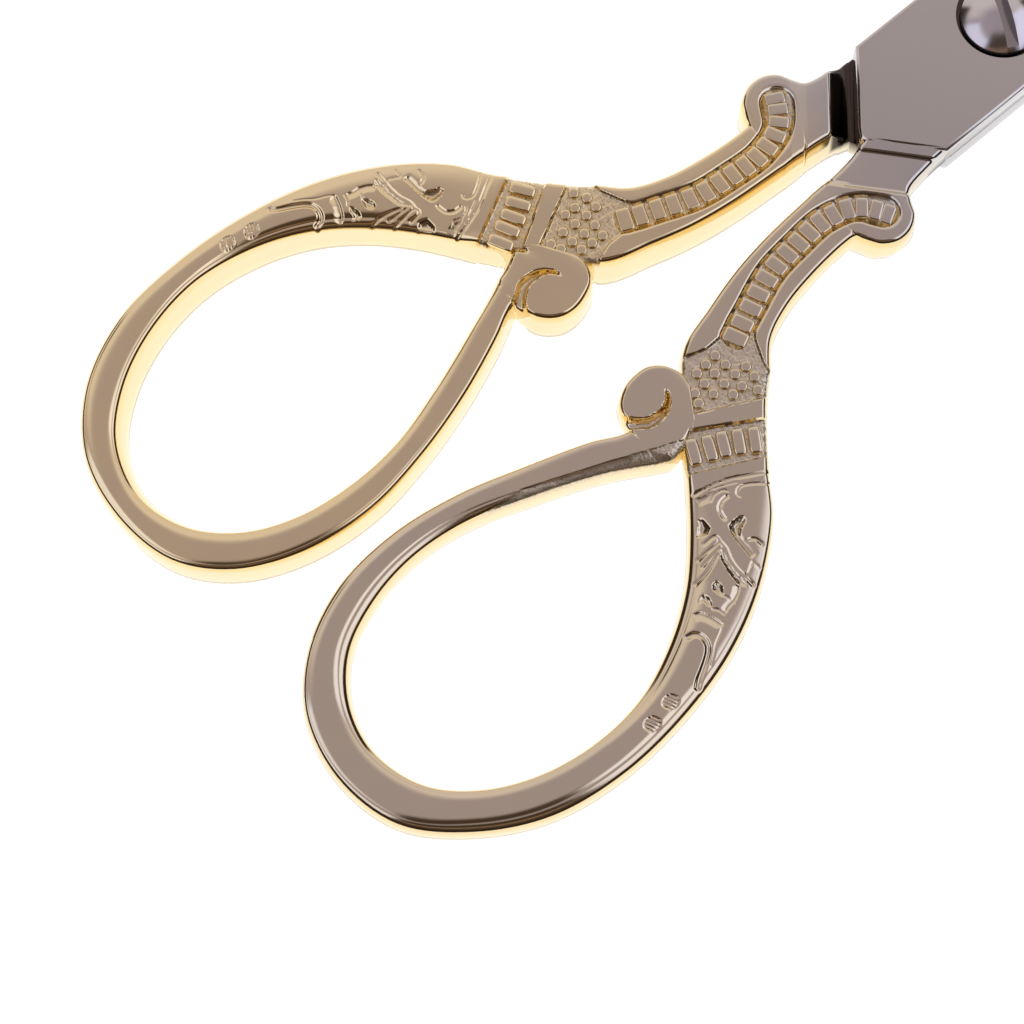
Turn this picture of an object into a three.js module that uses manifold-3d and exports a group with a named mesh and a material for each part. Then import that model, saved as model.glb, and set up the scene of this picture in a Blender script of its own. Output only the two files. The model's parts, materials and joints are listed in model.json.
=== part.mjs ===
// Ornate embroidery scissors, closed and lying flat.
// Millimetres, +Z up, +X towards the points. The pivot axis is Z, and the underside of the joint is z = 0.
// Each half is one forging: blade, joint plate, neck, shank and finger bow in a row. The two halves are
// alike, turned half a turn about X, so one is drawn here about the plane where they ride on each other.
import * as THREE from 'three';
import { mergeVertices } from 'three/addons/utils/BufferGeometryUtils.js';
import Module from 'manifold-3d';

const wasm = await Module();
wasm.setup();

// Joint plates, measured from the pivot axis
const PLATE_THICKNESS = 1.8;
const RIDE_GAP = 0.1; // between the two faces that slide on each other
const PLATE_HALF_WIDTH = 4.75;
const PLATE_FRONT = 4.5; // where the sides start to narrow towards the blade
const PLATE_CORNER = 8.8; // where the slanted ends start
const PLATE_POINT = 12.9; // where the two slanted ends meet
const SHOULDER = 0.45; // how far the plate runs on over its own neck
const STOP_GAP = 0.3; // closed, from a plate's end to the foot of the other half's step
const STEP_RUN = 0.95; // how far the step leans back as it rises

// Blades
const BLADE_LENGTH = 49; // pivot to point
const SPINE_ROOT = 9.5; // pivot to where the spine starts
const EDGE_ROOT = 8.5; // pivot to where the cutting edge starts
const SPINE_OUT = 4.05; // spine to the middle line at its root
const EDGE_OUT = 2.2; // cutting edge past the middle line at its root
const TIP_HALF_WIDTH = 0.45;
const TIP_THICKNESS = 0.85;
const EDGE_THICKNESS = 0.2;
const GRIND_WIDTH = 2.6; // ground slope from the cutting edge up to the flat of the blade

// Pivot screw
const SCREW_DIAMETER = 3;
const SCREW_CLEARANCE = 0.1; // radial, in both halves
const HEAD_DIAMETER = 5.5;
const HEAD_RIM = 0.25; // straight side of the head, standing on its seat
const HEAD_DOME = 1;
const SEAT_DEPTH = 0.35; // round recess under the head
const SEAT_CLEARANCE = 0.3; // radial, round the head
const SEAT_GAP = 0.1; // under the head
const SLOT_WIDTH = 0.65;
const SLOT_DEPTH = 0.75;
const SLOT_ANGLE = THREE.MathUtils.degToRad(62);

// Edge of the handle: a drafted side below a rolled bevel
const HANDLE_THICKNESS = 3.4;
const NECK_THICKNESS = 2.9; // where the neck leaves the joint plate
const SIDE_HEIGHT = 1.25; // drafted side, from the middle plane
const SIDE_DRAFT = 0.25;
const BEVEL_WIDTH = 0.4;

// Handle sections, each [hole-side along, out, outer-side along, out, crown]: two edge points, measured back
// from the plates' point and out from the middle line, and how far the face is domed between them.
const BOW_REACH = 22.35; // middle line to the outside of a bow
const BOW_END = 53.15; // plates' point to the end of a bow
const BOW_IN = 1; // middle line to the inside of a bow
const BOW_WIDTH = 2.75; // metal at the outside of a bow
const BOW_END_WIDTH = 2.85;
const BOW_IN_WIDTH = 2.25;
const NECK_LENGTH = 3.35; // plate's slanted end to the collar where the carved shank starts
const NECK_IN = 0.95; // neck's edges, out from the middle line
const NECK_OUT = 5.2;
const SHANK = [
  [5.3, 1, 5.5, 5.35, 0],
  [9.3, 1.3, 8.7, 5.55, 0],
  [12.5, 1.8, 11.5, 6.1, 0],
  [15.5, 2.6, 13.7, 7.05, 0],
];
const BEAD_PANEL_START = [18.7, 3.7, 15.25, 8.6, 0];
const UPPER_BAND = [[21.7, 7.2, 16.8, 10, 0], [22.6, 8.2, 17.7, 11, 0]];
const LOWER_BAND = [[24.2, 10.3, 19.2, 12.8, 0], [24.9, 11.2, 19.9, 13.65, 0.1]];
const LEAF_ARM = [
  [26.5, 13.1, 21.7, 15.8, 0.3],
  [28.8, 15.6, 24.75, 18.45, 0.3],
  [31.8, 17.8, 28.85, 20.55, 0.2],
  [35.4, 19.3, 33.6, 21.85, 0.1],
];
const BOW = [
  [39.5, BOW_REACH - BOW_WIDTH, 39.3, BOW_REACH, 0],
  [43.5, 19, 44.6, 21.45, 0],
  [47.1, 17.35, 49, 19.1, 0],
  [49.4, 14.6, 52, 15.5, 0],
  [BOW_END - BOW_END_WIDTH, 11, BOW_END, 10.9, 0],
  [49.7, 7.8, 52.25, 6.45, 0],
  [47.7, 5.1, 49.6, 3.35, 0],
  [44.5, 3.6, 45.4, 1.5, 0],
  [40.7, BOW_IN + BOW_IN_WIDTH, 40.5, BOW_IN, 0],
];
const PLAIN_ARM = [
  [36.7, 3.65, 35.8, 1.65, 0],
  [32.3, 5.1, 31.2, 2.95, 0],
  [28.1, 6.85, 27.1, 4.6, 0],
  [25, 8.15, 24.5, 5.7, 0],
  [22.7, 9, 22, 6.6, 0],
];
const STEPS_PER_SECTION = 3;

// Round ends of the handle's scrollwork, at [along, out] from the plates' point
const KNOB = [2.6, 5.2];
const KNOB_RADIUS = 2.3;
const SCROLL = [22.2, 5.15];
const SCROLL_RADIUS = 2.25;
const CURL = [22.85, 4.85]; // outer arc of the crescent groove that makes the scroll curl
const CURL_RADIUS = 1.6;
const EYE = [22.6, 4.4]; // inner arc of the groove
const EYE_RADIUS = 1.3;
const CURL_DEPTH = 0.7;

// Carved ground on both faces
const CARVING_DEPTH = 0.4;
const CARVING_MARGIN = 0.85; // from the handle's edge to a carved panel
const SCROLL_MARGIN = 1.3; // from the handle's edge under the scroll to the bead panel

// Ladder let into the shank: a sunk channel that hooks into the knob, with a row of flat pads
const LADDER = [
  [15.5, 5.3], [13.7, 4.5], [11.3, 3.65], [8.6, 3.1], [6.3, 2.95], [4.5, 3.2], [3.3, 3.9], [2.7, 5],
];
const LADDER_HALF_WIDTH = 0.95;
const LADDER_STEPS = 18;
const PAD_COUNT = 13;
const PAD_WIDTH = 1.05;
const PAD_GAP = 0.3;

// Beads between the ladder and the upper band, in staggered rows
const BEAD_ROWS = 5;
const BEADS_PER_ROW = 4;
const BEAD_PITCH = 0.98;
const BEAD_RADIUS = 0.42;
const BEAD_MARGIN = 0.45; // from the first and last rows to the panel's ends

// Rods between the two bands
const ROD_COUNT = 5;
const ROD_PITCH = 0.85;
const ROD_RADIUS = 0.3;
const ROD_GAP = 0.3; // from a rod's end to the band

// Fineness of curves and round forms
const BLADE_CURVE_STEPS = 8;
const DOME_STEPS = 5;
const SCREW_SEGMENTS = 32;
const SCROLL_SEGMENTS = 24;
const PAD_SEGMENTS = 16;
const BEAD_SEGMENTS = 6;
const BEAD_RINGS = 4;
const ROD_SEGMENTS = 6;
const ROD_END_STEPS = 2;

const MIDDLE = PLATE_THICKNESS + RIDE_GAP / 2; // height of the plane between the halves
const RIDE = RIDE_GAP / 2;
const PLATE_TOP = RIDE + PLATE_THICKNESS;
const HANDLE_TOP = HANDLE_THICKNESS / 2;
const NECK_TOP = NECK_THICKNESS / 2;
const CARVED = HANDLE_TOP - CARVING_DEPTH;
const CUT_PAST = 1; // how far a cutting tool runs out of the metal

// Place of a point given back from the plates' point and out from the middle line, on the front half
const plan = ([along, out]) => new THREE.Vector2(-PLATE_POINT - along, -out);

// Closed solid from a geometry's merged triangles
function solid(geometry) {
  const bare = geometry.clone();
  bare.deleteAttribute('normal');
  bare.deleteAttribute('uv');
  const merged = mergeVertices(bare, 1e-4);
  return new wasm.Manifold(new wasm.Mesh({
    numProp: 3,
    vertProperties: new Float32Array(merged.attributes.position.array),
    triVerts: new Uint32Array(merged.index.array),
  }));
}

// The same form on the other face of the handle
function mirrored(geometry) {
  const other = (geometry.index ? geometry.toNonIndexed() : geometry.clone()).scale(1, 1, -1);
  const order = [];
  for (let i = 0; i < other.attributes.position.count; i += 3) {
    order.push(i, i + 2, i + 1);
  }
  return other.setIndex(order);
}

const join = (solids) => solids.reduce((whole, piece) => whole.add(piece));
const onBothFaces = (forms) => join(forms.flatMap((form) => [solid(form), solid(mirrored(form))]));

// A flat outline raised from one height to another
function slab(shape, low, high) {
  const settings = { depth: high - low, bevelEnabled: false, curveSegments: BLADE_CURVE_STEPS };
  const geometry = new THREE.ExtrudeGeometry(shape, settings);
  return geometry.translate(0, 0, low);
}

// Turned form about the upright axis through a plan point, from [radius, height] pairs
function turned(profile, centre, segments) {
  const points = profile.map(([radius, height]) => new THREE.Vector2(radius, height));
  const geometry = new THREE.LatheGeometry(points, segments).rotateX(Math.PI / 2);
  return geometry.translate(centre.x, centre.y, 0);
}

// Points of the handle's edge from the middle plane up to the face, as [inset, height]
const edgeProfile = (top, crown) => [
  [0, 0],
  [SIDE_DRAFT, SIDE_HEIGHT * (top / HANDLE_TOP)],
  [SIDE_DRAFT + BEVEL_WIDTH, top - crown],
];

// Point on a line parallel to a plate's slanted end, set back from it, at a distance from the middle line
function behindPlate(setback, out) {
  const slope = new THREE.Vector2(PLATE_CORNER - PLATE_POINT, PLATE_HALF_WIDTH).normalize();
  const start = new THREE.Vector2(slope.y * setback, -slope.x * setback);
  return start.addScaledVector(slope, (out - start.y) / slope.y).toArray();
}

// Closed ring of points round one handle section
function sectionRing(hole, outer, top, crown) {
  const across = hole.clone().sub(outer).normalize();
  const edge = edgeProfile(top, crown);
  const from = (point, direction, [inset, height]) => {
    const place = point.clone().addScaledVector(across, direction * inset);
    return new THREE.Vector3(place.x, place.y, height);
  };
  const middle = hole.clone().add(outer).multiplyScalar(0.5);
  const upper = [
    ...edge.map((step) => from(outer, 1, step)),
    new THREE.Vector3(middle.x, middle.y, top),
    ...edge.slice().reverse().map((step) => from(hole, -1, step)),
  ];
  const lower = upper.slice(1, -1).reverse().map((p) => new THREE.Vector3(p.x, p.y, -p.z));
  return [...upper, ...lower];
}

// First ring of the neck: upright over its own plate, and leaning back where it clears the other one
function neckRing() {
  const [hole, outer] = [NECK_IN, NECK_OUT].map((out) => plan(behindPlate(STOP_GAP, out)));
  const away = plan(behindPlate(STOP_GAP + STEP_RUN, 0)).sub(plan(behindPlate(STOP_GAP, 0)));
  return sectionRing(hole, outer, NECK_TOP, 0).map((point) => {
    const lean = Math.max(0, -point.z) / NECK_TOP;
    return new THREE.Vector3(point.x + away.x * lean, point.y + away.y * lean, point.z);
  });
}

// Skin over a row of rings, closed at both ends
function loft(rings) {
  const size = rings[0].length;
  const half = size / 2;
  const index = [];
  for (let i = 0; i + 1 < rings.length; i += 1) {
    for (let j = 0; j < size; j += 1) {
      const next = (j + 1) % size;
      const [a, b, c, d] = [i * size + j, i * size + next, (i + 1) * size + next, (i + 1) * size + j];
      index.push(a, b, c, a, c, d);
    }
  }
  const last = (rings.length - 1) * size;
  for (const start of [0, half]) {
    for (let j = 1; j < half; j += 1) {
      const [p, q] = [start + j, (start + j + 1) % size];
      index.push(start, q, p, last + start, last + p, last + q);
    }
  }
  const geometry = new THREE.BufferGeometry();
  geometry.setFromPoints(rings.flat());
  geometry.setIndex(index);
  return geometry;
}

// Handle from the neck round the bow and back to the scroll
function handle() {
  const collar = [...behindPlate(NECK_LENGTH, NECK_IN), ...behindPlate(NECK_LENGTH, NECK_OUT), 0];
  const arms = [...LEAF_ARM, ...BOW, ...PLAIN_ARM];
  const sections = [collar, ...SHANK, BEAD_PANEL_START, ...UPPER_BAND, ...LOWER_BAND, ...arms];
  const edge = (pick) => new THREE.CatmullRomCurve3(sections.map((section) => {
    const place = plan(pick(section));
    return new THREE.Vector3(place.x, place.y, section[4]);
  }));
  const holeEdge = edge((section) => section.slice(0, 2));
  const outerEdge = edge((section) => section.slice(2, 4));
  const steps = (sections.length - 1) * STEPS_PER_SECTION;
  const rings = [neckRing()];
  for (let i = 0; i <= steps; i += 1) {
    const [hole, outer] = [holeEdge.getPoint(i / steps), outerEdge.getPoint(i / steps)];
    const ends = [hole, outer].map(({ x, y }) => new THREE.Vector2(x, y));
    rings.push(sectionRing(...ends, HANDLE_TOP, hole.z));
  }
  return loft(rings);
}

// Round end of the scrollwork with the handle's own edge
function roundEnd(centre, radius) {
  const upper = edgeProfile(HANDLE_TOP, 0).map(([inset, height]) => [radius - inset, height]);
  const lower = upper.slice(1).reverse().map(([r, height]) => [r, -height]);
  return turned([[0, -HANDLE_TOP], ...lower, ...upper, [0, HANDLE_TOP]], plan(centre), SCROLL_SEGMENTS);
}

// Blade and joint plate, the spine on +Y and the cutting edge on -Y
function plateAndBlade() {
  const shoulderIn = plan(behindPlate(SHOULDER, NECK_IN / 2));
  const shoulderOut = plan(behindPlate(SHOULDER, PLATE_HALF_WIDTH));
  const shape = new THREE.Shape();
  shape.moveTo(-PLATE_POINT, 0);
  shape.lineTo(shoulderIn.x, shoulderIn.y);
  shape.lineTo(shoulderOut.x, shoulderOut.y);
  shape.lineTo(PLATE_FRONT, -PLATE_HALF_WIDTH);
  shape.quadraticCurveTo(EDGE_ROOT, -PLATE_HALF_WIDTH, EDGE_ROOT, -EDGE_OUT);
  shape.lineTo(BLADE_LENGTH - TIP_HALF_WIDTH, -TIP_HALF_WIDTH);
  shape.quadraticCurveTo(BLADE_LENGTH, -TIP_HALF_WIDTH, BLADE_LENGTH, 0);
  shape.quadraticCurveTo(BLADE_LENGTH, TIP_HALF_WIDTH, BLADE_LENGTH - TIP_HALF_WIDTH, TIP_HALF_WIDTH);
  shape.quadraticCurveTo((SPINE_ROOT + BLADE_LENGTH) / 2, SPINE_OUT - TIP_HALF_WIDTH, SPINE_ROOT, SPINE_OUT);
  shape.quadraticCurveTo((SPINE_ROOT + PLATE_FRONT) / 2, PLATE_HALF_WIDTH, PLATE_FRONT, PLATE_HALF_WIDTH);
  shape.lineTo(-PLATE_CORNER, PLATE_HALF_WIDTH);
  return solid(slab(shape, RIDE, PLATE_TOP)).subtract(taperCut()).subtract(grindCut());
}

// Metal taken off the blade's outer face so that it thins towards the point
function taperCut() {
  const side = new THREE.Shape();
  side.moveTo(SPINE_ROOT, PLATE_TOP);
  side.lineTo(BLADE_LENGTH + CUT_PAST, RIDE + TIP_THICKNESS);
  side.lineTo(BLADE_LENGTH + CUT_PAST, PLATE_TOP + CUT_PAST);
  side.lineTo(SPINE_ROOT, PLATE_TOP + CUT_PAST);
  const width = PLATE_HALF_WIDTH * 2;
  const geometry = new THREE.ExtrudeGeometry(side, { depth: width, bevelEnabled: false });
  return solid(geometry.rotateX(Math.PI / 2).translate(0, width / 2, 0));
}

// Ground slope along the cutting edge
function grindCut() {
  const length = BLADE_LENGTH - EDGE_ROOT;
  const lean = Math.atan2(EDGE_OUT - TIP_HALF_WIDTH, length - TIP_HALF_WIDTH);
  const low = RIDE + EDGE_THICKNESS;
  const section = new THREE.Shape();
  section.moveTo(-CUT_PAST, low);
  section.lineTo(0, low);
  section.lineTo(GRIND_WIDTH, PLATE_TOP);
  section.lineTo(GRIND_WIDTH, PLATE_TOP + CUT_PAST);
  section.lineTo(-CUT_PAST, PLATE_TOP + CUT_PAST);
  const geometry = new THREE.ExtrudeGeometry(section, { depth: length + CUT_PAST, bevelEnabled: false });
  geometry.rotateX(Math.PI / 2).rotateZ(Math.PI / 2).rotateZ(lean);
  return solid(geometry.translate(EDGE_ROOT, -EDGE_OUT, 0));
}

// Bridge of metal from the joint plate into the neck, within the plate's own layer
function neckBridge() {
  const reach = STOP_GAP + STEP_RUN;
  const corners = [
    behindPlate(0, NECK_IN / 2),
    behindPlate(reach, NECK_IN + BEVEL_WIDTH),
    behindPlate(reach, NECK_OUT - BEVEL_WIDTH),
    behindPlate(0, PLATE_HALF_WIDTH),
  ];
  return solid(slab(new THREE.Shape(corners.map(plan)), RIDE, NECK_TOP));
}

// Point between two handle sections, a share of the way along and a distance in from the outer edge
function between(first, second, share, inset) {
  const section = first.map((value, i) => THREE.MathUtils.lerp(value, second[i], share));
  const [hole, outer] = [plan(section.slice(0, 2)), plan(section.slice(2, 4))];
  return outer.addScaledVector(hole.sub(outer).normalize(), inset);
}

// Width of a handle section
const widthOf = (section) => plan(section.slice(0, 2)).distanceTo(plan(section.slice(2, 4)));

// Sunk panel between two handle sections, clear of the handle's edges
function panel(first, second, holeMargin) {
  const corners = [
    between(first, first, 0, CARVING_MARGIN),
    between(first, first, 0, widthOf(first) - holeMargin),
    between(second, second, 0, widthOf(second) - holeMargin),
    between(second, second, 0, CARVING_MARGIN),
  ];
  return slab(new THREE.Shape(corners), CARVED, HANDLE_TOP + CUT_PAST);
}

const ladderPoints = LADDER.map(plan).map(({ x, y }) => new THREE.Vector3(x, y, 0));
const ladderCurve = new THREE.CatmullRomCurve3(ladderPoints);

// Sunk channel of the ladder, round at both ends
function ladderChannel() {
  const sides = [[], []];
  for (let i = 0; i <= LADDER_STEPS; i += 1) {
    const place = ladderCurve.getPointAt(i / LADDER_STEPS);
    const heading = ladderCurve.getTangentAt(i / LADDER_STEPS);
    const offset = new THREE.Vector2(-heading.y, heading.x).multiplyScalar(LADDER_HALF_WIDTH);
    sides[0].push(new THREE.Vector2(place.x + offset.x, place.y + offset.y));
    sides[1].push(new THREE.Vector2(place.x - offset.x, place.y - offset.y));
  }
  const over = HANDLE_TOP + CUT_PAST;
  const strip = slab(new THREE.Shape([...sides[0], ...sides[1].reverse()]), CARVED, over);
  const ends = [0, 1].map((end) => post(ladderCurve.getPointAt(end), LADDER_HALF_WIDTH, over));
  return [strip, ...ends];
}

// Upright round from the carved ground up to a height
function post(place, radius, high) {
  const geometry = new THREE.CylinderGeometry(radius, radius, high - CARVED, PAD_SEGMENTS);
  return geometry.rotateX(Math.PI / 2).translate(place.x, place.y, (high + CARVED) / 2);
}

// Flat pads standing in the ladder channel, the end ones round
function ladderPads() {
  const spacing = ladderCurve.getLength() / (PAD_COUNT + 1);
  const pads = [0, 1].map((end) => post(ladderCurve.getPointAt(end), PAD_WIDTH / 2, HANDLE_TOP));
  for (let i = 1; i <= PAD_COUNT; i += 1) {
    const share = i / (PAD_COUNT + 1);
    const heading = ladderCurve.getTangentAt(share);
    const place = ladderCurve.getPointAt(share);
    const pad = new THREE.BoxGeometry(spacing - PAD_GAP, PAD_WIDTH, CARVING_DEPTH * 2);
    pads.push(pad.rotateZ(Math.atan2(heading.y, heading.x)).translate(place.x, place.y, CARVED));
  }
  return pads;
}

// Beads in staggered rows on the sunk panel
function beads() {
  const [first, last] = [BEAD_PANEL_START, UPPER_BAND[0]];
  const length = between(first, first, 0, CARVING_MARGIN).distanceTo(between(last, last, 0, CARVING_MARGIN));
  const made = [];
  for (let row = 0; row < BEAD_ROWS; row += 1) {
    const share = (BEAD_MARGIN + (row / (BEAD_ROWS - 1)) * (length - 2 * BEAD_MARGIN)) / length;
    for (let i = 0; i < BEADS_PER_ROW; i += 1) {
      const inset = CARVING_MARGIN + BEAD_RADIUS + BEAD_PITCH * (i + (row % 2) / 2);
      const place = between(first, last, share, inset);
      const bead = new THREE.SphereGeometry(BEAD_RADIUS, BEAD_SEGMENTS, BEAD_RINGS).rotateX(Math.PI / 2);
      made.push(bead.translate(place.x, place.y, CARVED));
    }
  }
  return made;
}

// Rods side by side between the bands
function rods() {
  const [first, last] = [UPPER_BAND[1], LOWER_BAND[0]];
  const made = [];
  for (let i = 0; i < ROD_COUNT; i += 1) {
    const inset = CARVING_MARGIN + ROD_RADIUS + ROD_PITCH * i;
    const [from, to] = [between(first, first, 0, inset), between(last, last, 0, inset)];
    const run = to.clone().sub(from);
    const straight = run.length() - 2 * (ROD_GAP + ROD_RADIUS);
    const rod = new THREE.CapsuleGeometry(ROD_RADIUS, straight, ROD_END_STEPS, ROD_SEGMENTS);
    rod.rotateZ(Math.atan2(run.y, run.x) - Math.PI / 2);
    const middle = from.lerp(to, 0.5);
    made.push(rod.translate(middle.x, middle.y, CARVED));
  }
  return made;
}

// Crescent groove that makes the scroll curl
function curlGroove() {
  const disc = (place, radius) => {
    const centre = plan(place);
    const geometry = new THREE.CylinderGeometry(radius, radius, CURL_DEPTH + CUT_PAST, SCROLL_SEGMENTS);
    const middle = HANDLE_TOP + (CUT_PAST - CURL_DEPTH) / 2;
    return geometry.rotateX(Math.PI / 2).translate(centre.x, centre.y, middle);
  };
  const curl = onBothFaces([disc(CURL, CURL_RADIUS)]);
  return curl.subtract(onBothFaces([disc(EYE, EYE_RADIUS)]));
}

// One half without its screw hole, drawn as the front one
function halfBody() {
  const forged = join([
    plateAndBlade(),
    neckBridge(),
    solid(handle()),
    solid(roundEnd(KNOB, KNOB_RADIUS)),
    solid(roundEnd(SCROLL, SCROLL_RADIUS)),
  ]);
  const beadPanel = panel(BEAD_PANEL_START, UPPER_BAND[0], SCROLL_MARGIN);
  const rodPanel = panel(UPPER_BAND[1], LOWER_BAND[0], CARVING_MARGIN);
  const sunk = forged.subtract(curlGroove()).subtract(onBothFaces([...ladderChannel(), beadPanel, rodPanel]));
  return sunk.add(onBothFaces([...ladderPads(), ...beads(), ...rods()]));
}

// Round hole or recess on the pivot axis
function bore(radius, low, high) {
  const geometry = new THREE.CylinderGeometry(radius, radius, high - low, SCREW_SEGMENTS);
  return solid(geometry.rotateX(Math.PI / 2).translate(0, 0, (low + high) / 2));
}

// Slotted screw with a domed head, its end ground flush with the underside
function pivotScrew() {
  const [shank, head] = [SCREW_DIAMETER / 2, HEAD_DIAMETER / 2];
  const seat = MIDDLE + PLATE_TOP - SEAT_DEPTH + SEAT_GAP;
  const rim = seat + HEAD_RIM;
  const domeRadius = (head ** 2 + HEAD_DOME ** 2) / (2 * HEAD_DOME);
  const profile = [[0, 0], [shank, 0], [shank, seat], [head, seat], [head, rim]];
  for (let i = DOME_STEPS - 1; i >= 0; i -= 1) {
    const radius = (head * i) / DOME_STEPS;
    profile.push([radius, rim + HEAD_DOME - domeRadius + Math.sqrt(domeRadius ** 2 - radius ** 2)]);
  }
  const slot = new THREE.BoxGeometry(HEAD_DIAMETER + CUT_PAST, SLOT_WIDTH, SLOT_DEPTH * 2);
  slot.rotateZ(SLOT_ANGLE).translate(0, 0, rim + HEAD_DOME);
  return solid(turned(profile, new THREE.Vector2(), SCREW_SEGMENTS)).subtract(solid(slot));
}

function named(piece, name, material) {
  const { vertProperties, triVerts } = piece.getMesh();
  const geometry = new THREE.BufferGeometry();
  geometry.setAttribute('position', new THREE.BufferAttribute(vertProperties, 3));
  geometry.setIndex(new THREE.BufferAttribute(triVerts, 1));
  geometry.computeVertexNormals();
  const mesh = new THREE.Mesh(geometry, material);
  mesh.name = name;
  return mesh;
}

const plating = new THREE.MeshStandardMaterial({ color: 0xcbb48a, roughness: 0.2, metalness: 1 });
const steel = new THREE.MeshStandardMaterial({ color: 0x9b98a0, roughness: 0.25, metalness: 1 });

const half = halfBody();
const screwHole = bore(SCREW_DIAMETER / 2 + SCREW_CLEARANCE, -CUT_PAST, PLATE_TOP + CUT_PAST);
const headSeat = bore(HEAD_DIAMETER / 2 + SEAT_CLEARANCE, PLATE_TOP - SEAT_DEPTH, PLATE_TOP + CUT_PAST);

const frontHalf = named(half.subtract(screwHole).subtract(headSeat), 'front_half', plating);
frontHalf.position.z = MIDDLE;

const rearHalf = named(half.subtract(screwHole), 'rear_half', plating);
rearHalf.position.z = MIDDLE;
rearHalf.rotation.x = Math.PI;

const scissors = new THREE.Group();
scissors.add(frontHalf, rearHalf, named(pivotScrew(), 'pivot_screw', steel));

export default scissors;
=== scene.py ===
# %% [markdown]
# # Ornate embroidery scissors
#
# A small pair of scissors for needlework. Each half is one piece of steel: blade, joint plate, neck, carved
# shank and finger bow. The handles are plated with pale gold, which thins out to bare steel at the joint.
#
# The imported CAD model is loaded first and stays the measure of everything. Each half is then made again as a
# fine mesh with its rolled edges and its carving, and stands for the plain CAD solid.

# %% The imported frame
import json
import math
from collections import namedtuple

import bmesh
import bpy
import numpy as np
from mathutils import Matrix, Vector

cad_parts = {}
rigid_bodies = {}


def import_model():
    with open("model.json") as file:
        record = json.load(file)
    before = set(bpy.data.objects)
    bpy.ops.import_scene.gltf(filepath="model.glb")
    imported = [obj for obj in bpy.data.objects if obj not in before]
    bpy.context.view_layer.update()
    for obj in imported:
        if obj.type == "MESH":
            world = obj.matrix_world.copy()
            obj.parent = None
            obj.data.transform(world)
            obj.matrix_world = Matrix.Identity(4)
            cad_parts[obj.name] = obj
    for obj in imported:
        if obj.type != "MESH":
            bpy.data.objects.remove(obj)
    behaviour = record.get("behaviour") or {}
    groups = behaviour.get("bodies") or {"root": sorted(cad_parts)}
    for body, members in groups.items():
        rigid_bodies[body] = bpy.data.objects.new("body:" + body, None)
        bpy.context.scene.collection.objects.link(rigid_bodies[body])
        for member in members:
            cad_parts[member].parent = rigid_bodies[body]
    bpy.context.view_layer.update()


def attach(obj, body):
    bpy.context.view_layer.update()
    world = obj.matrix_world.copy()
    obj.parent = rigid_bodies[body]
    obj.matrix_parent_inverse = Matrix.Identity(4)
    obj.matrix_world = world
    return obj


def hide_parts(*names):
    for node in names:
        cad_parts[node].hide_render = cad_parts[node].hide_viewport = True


for starter in list(bpy.data.objects):
    bpy.data.objects.remove(starter)
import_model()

# %% [markdown]
# ## Sizes
#
# The sizes are those of the CAD model, in millimetres, because that is how a toolmaker would give them. A mesh
# is turned into metres when it is made. Each half is drawn as the front one, about the plane where the two
# halves slide on each other. The rear half is then turned half a turn about the X axis.

# %% Sizes of the joint and the handles
MM = 0.001
PLATE_THICKNESS = 1.8
RIDE = 0.05  # half the gap between the sliding faces
PLATE_HALF_WIDTH = 4.75
PLATE_FRONT = 4.5
PLATE_CORNER = 8.8
PLATE_POINT = 12.9
SHOULDER = 0.45
STOP_GAP = 0.3
PLATE_TOP = RIDE + PLATE_THICKNESS
MIDDLE = PLATE_TOP
HANDLE_TOP = 1.7
NECK_LENGTH = 3.35
NECK_IN = 0.95
NECK_OUT_START = 4.75
NECK_OUT_END = 5.2
BEVEL_WIDTH = 0.3
BEVEL_HEIGHT = 0.22
print("closed plates together are", round(2 * PLATE_TOP, 2), "mm thick")

# %% [markdown]
# ## The handle's two edges
#
# From above, a handle is a ribbon between two smooth edges: the hole side and the outer side. Each row below
# pairs one point of each edge, given as distances back from the pivot and out from the middle line. The other
# numbers are the spacing of the mesh there, and the fall of the domed face and the bevel's width on each side.
# A smooth curve through the points of each edge gives the outline, so the knob and the scroll are swellings
# of the outer edge.

# %% Places on the plan
KNOB = (15.5, 5.2)
KNOB_RADIUS = 2.3
SCROLL = (35.1, 5.15)


def on_circle(centre, radius, degrees):
    """A point of a circle, the angle counted from the handle's own length towards its outside."""
    angle = math.radians(degrees)
    return (centre[0] + radius * math.cos(angle), centre[1] + radius * math.sin(angle))


def behind_plate(setback, out):
    """A point on a line parallel to the plate's slanted end, set back from it."""
    slope = np.array([PLATE_CORNER - PLATE_POINT, PLATE_HALF_WIDTH])
    slope /= np.linalg.norm(slope)
    start = np.array([slope[1], -slope[0]]) * setback
    along, _ = start + slope * (out - start[1]) / slope[1]
    return (along + PLATE_POINT, out)


def row(hole, outer, step, domes=(0.0, 0.0), bevels=(BEVEL_WIDTH, BEVEL_WIDTH)):
    """A pair of edge points with the spacing, and the fall and the bevel on hole and outer side."""
    return (*hole, *outer, step, *domes, *bevels)


print("neck starts at", np.round(behind_plate(STOP_GAP, NECK_IN), 2), "mm back and out")

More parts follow.
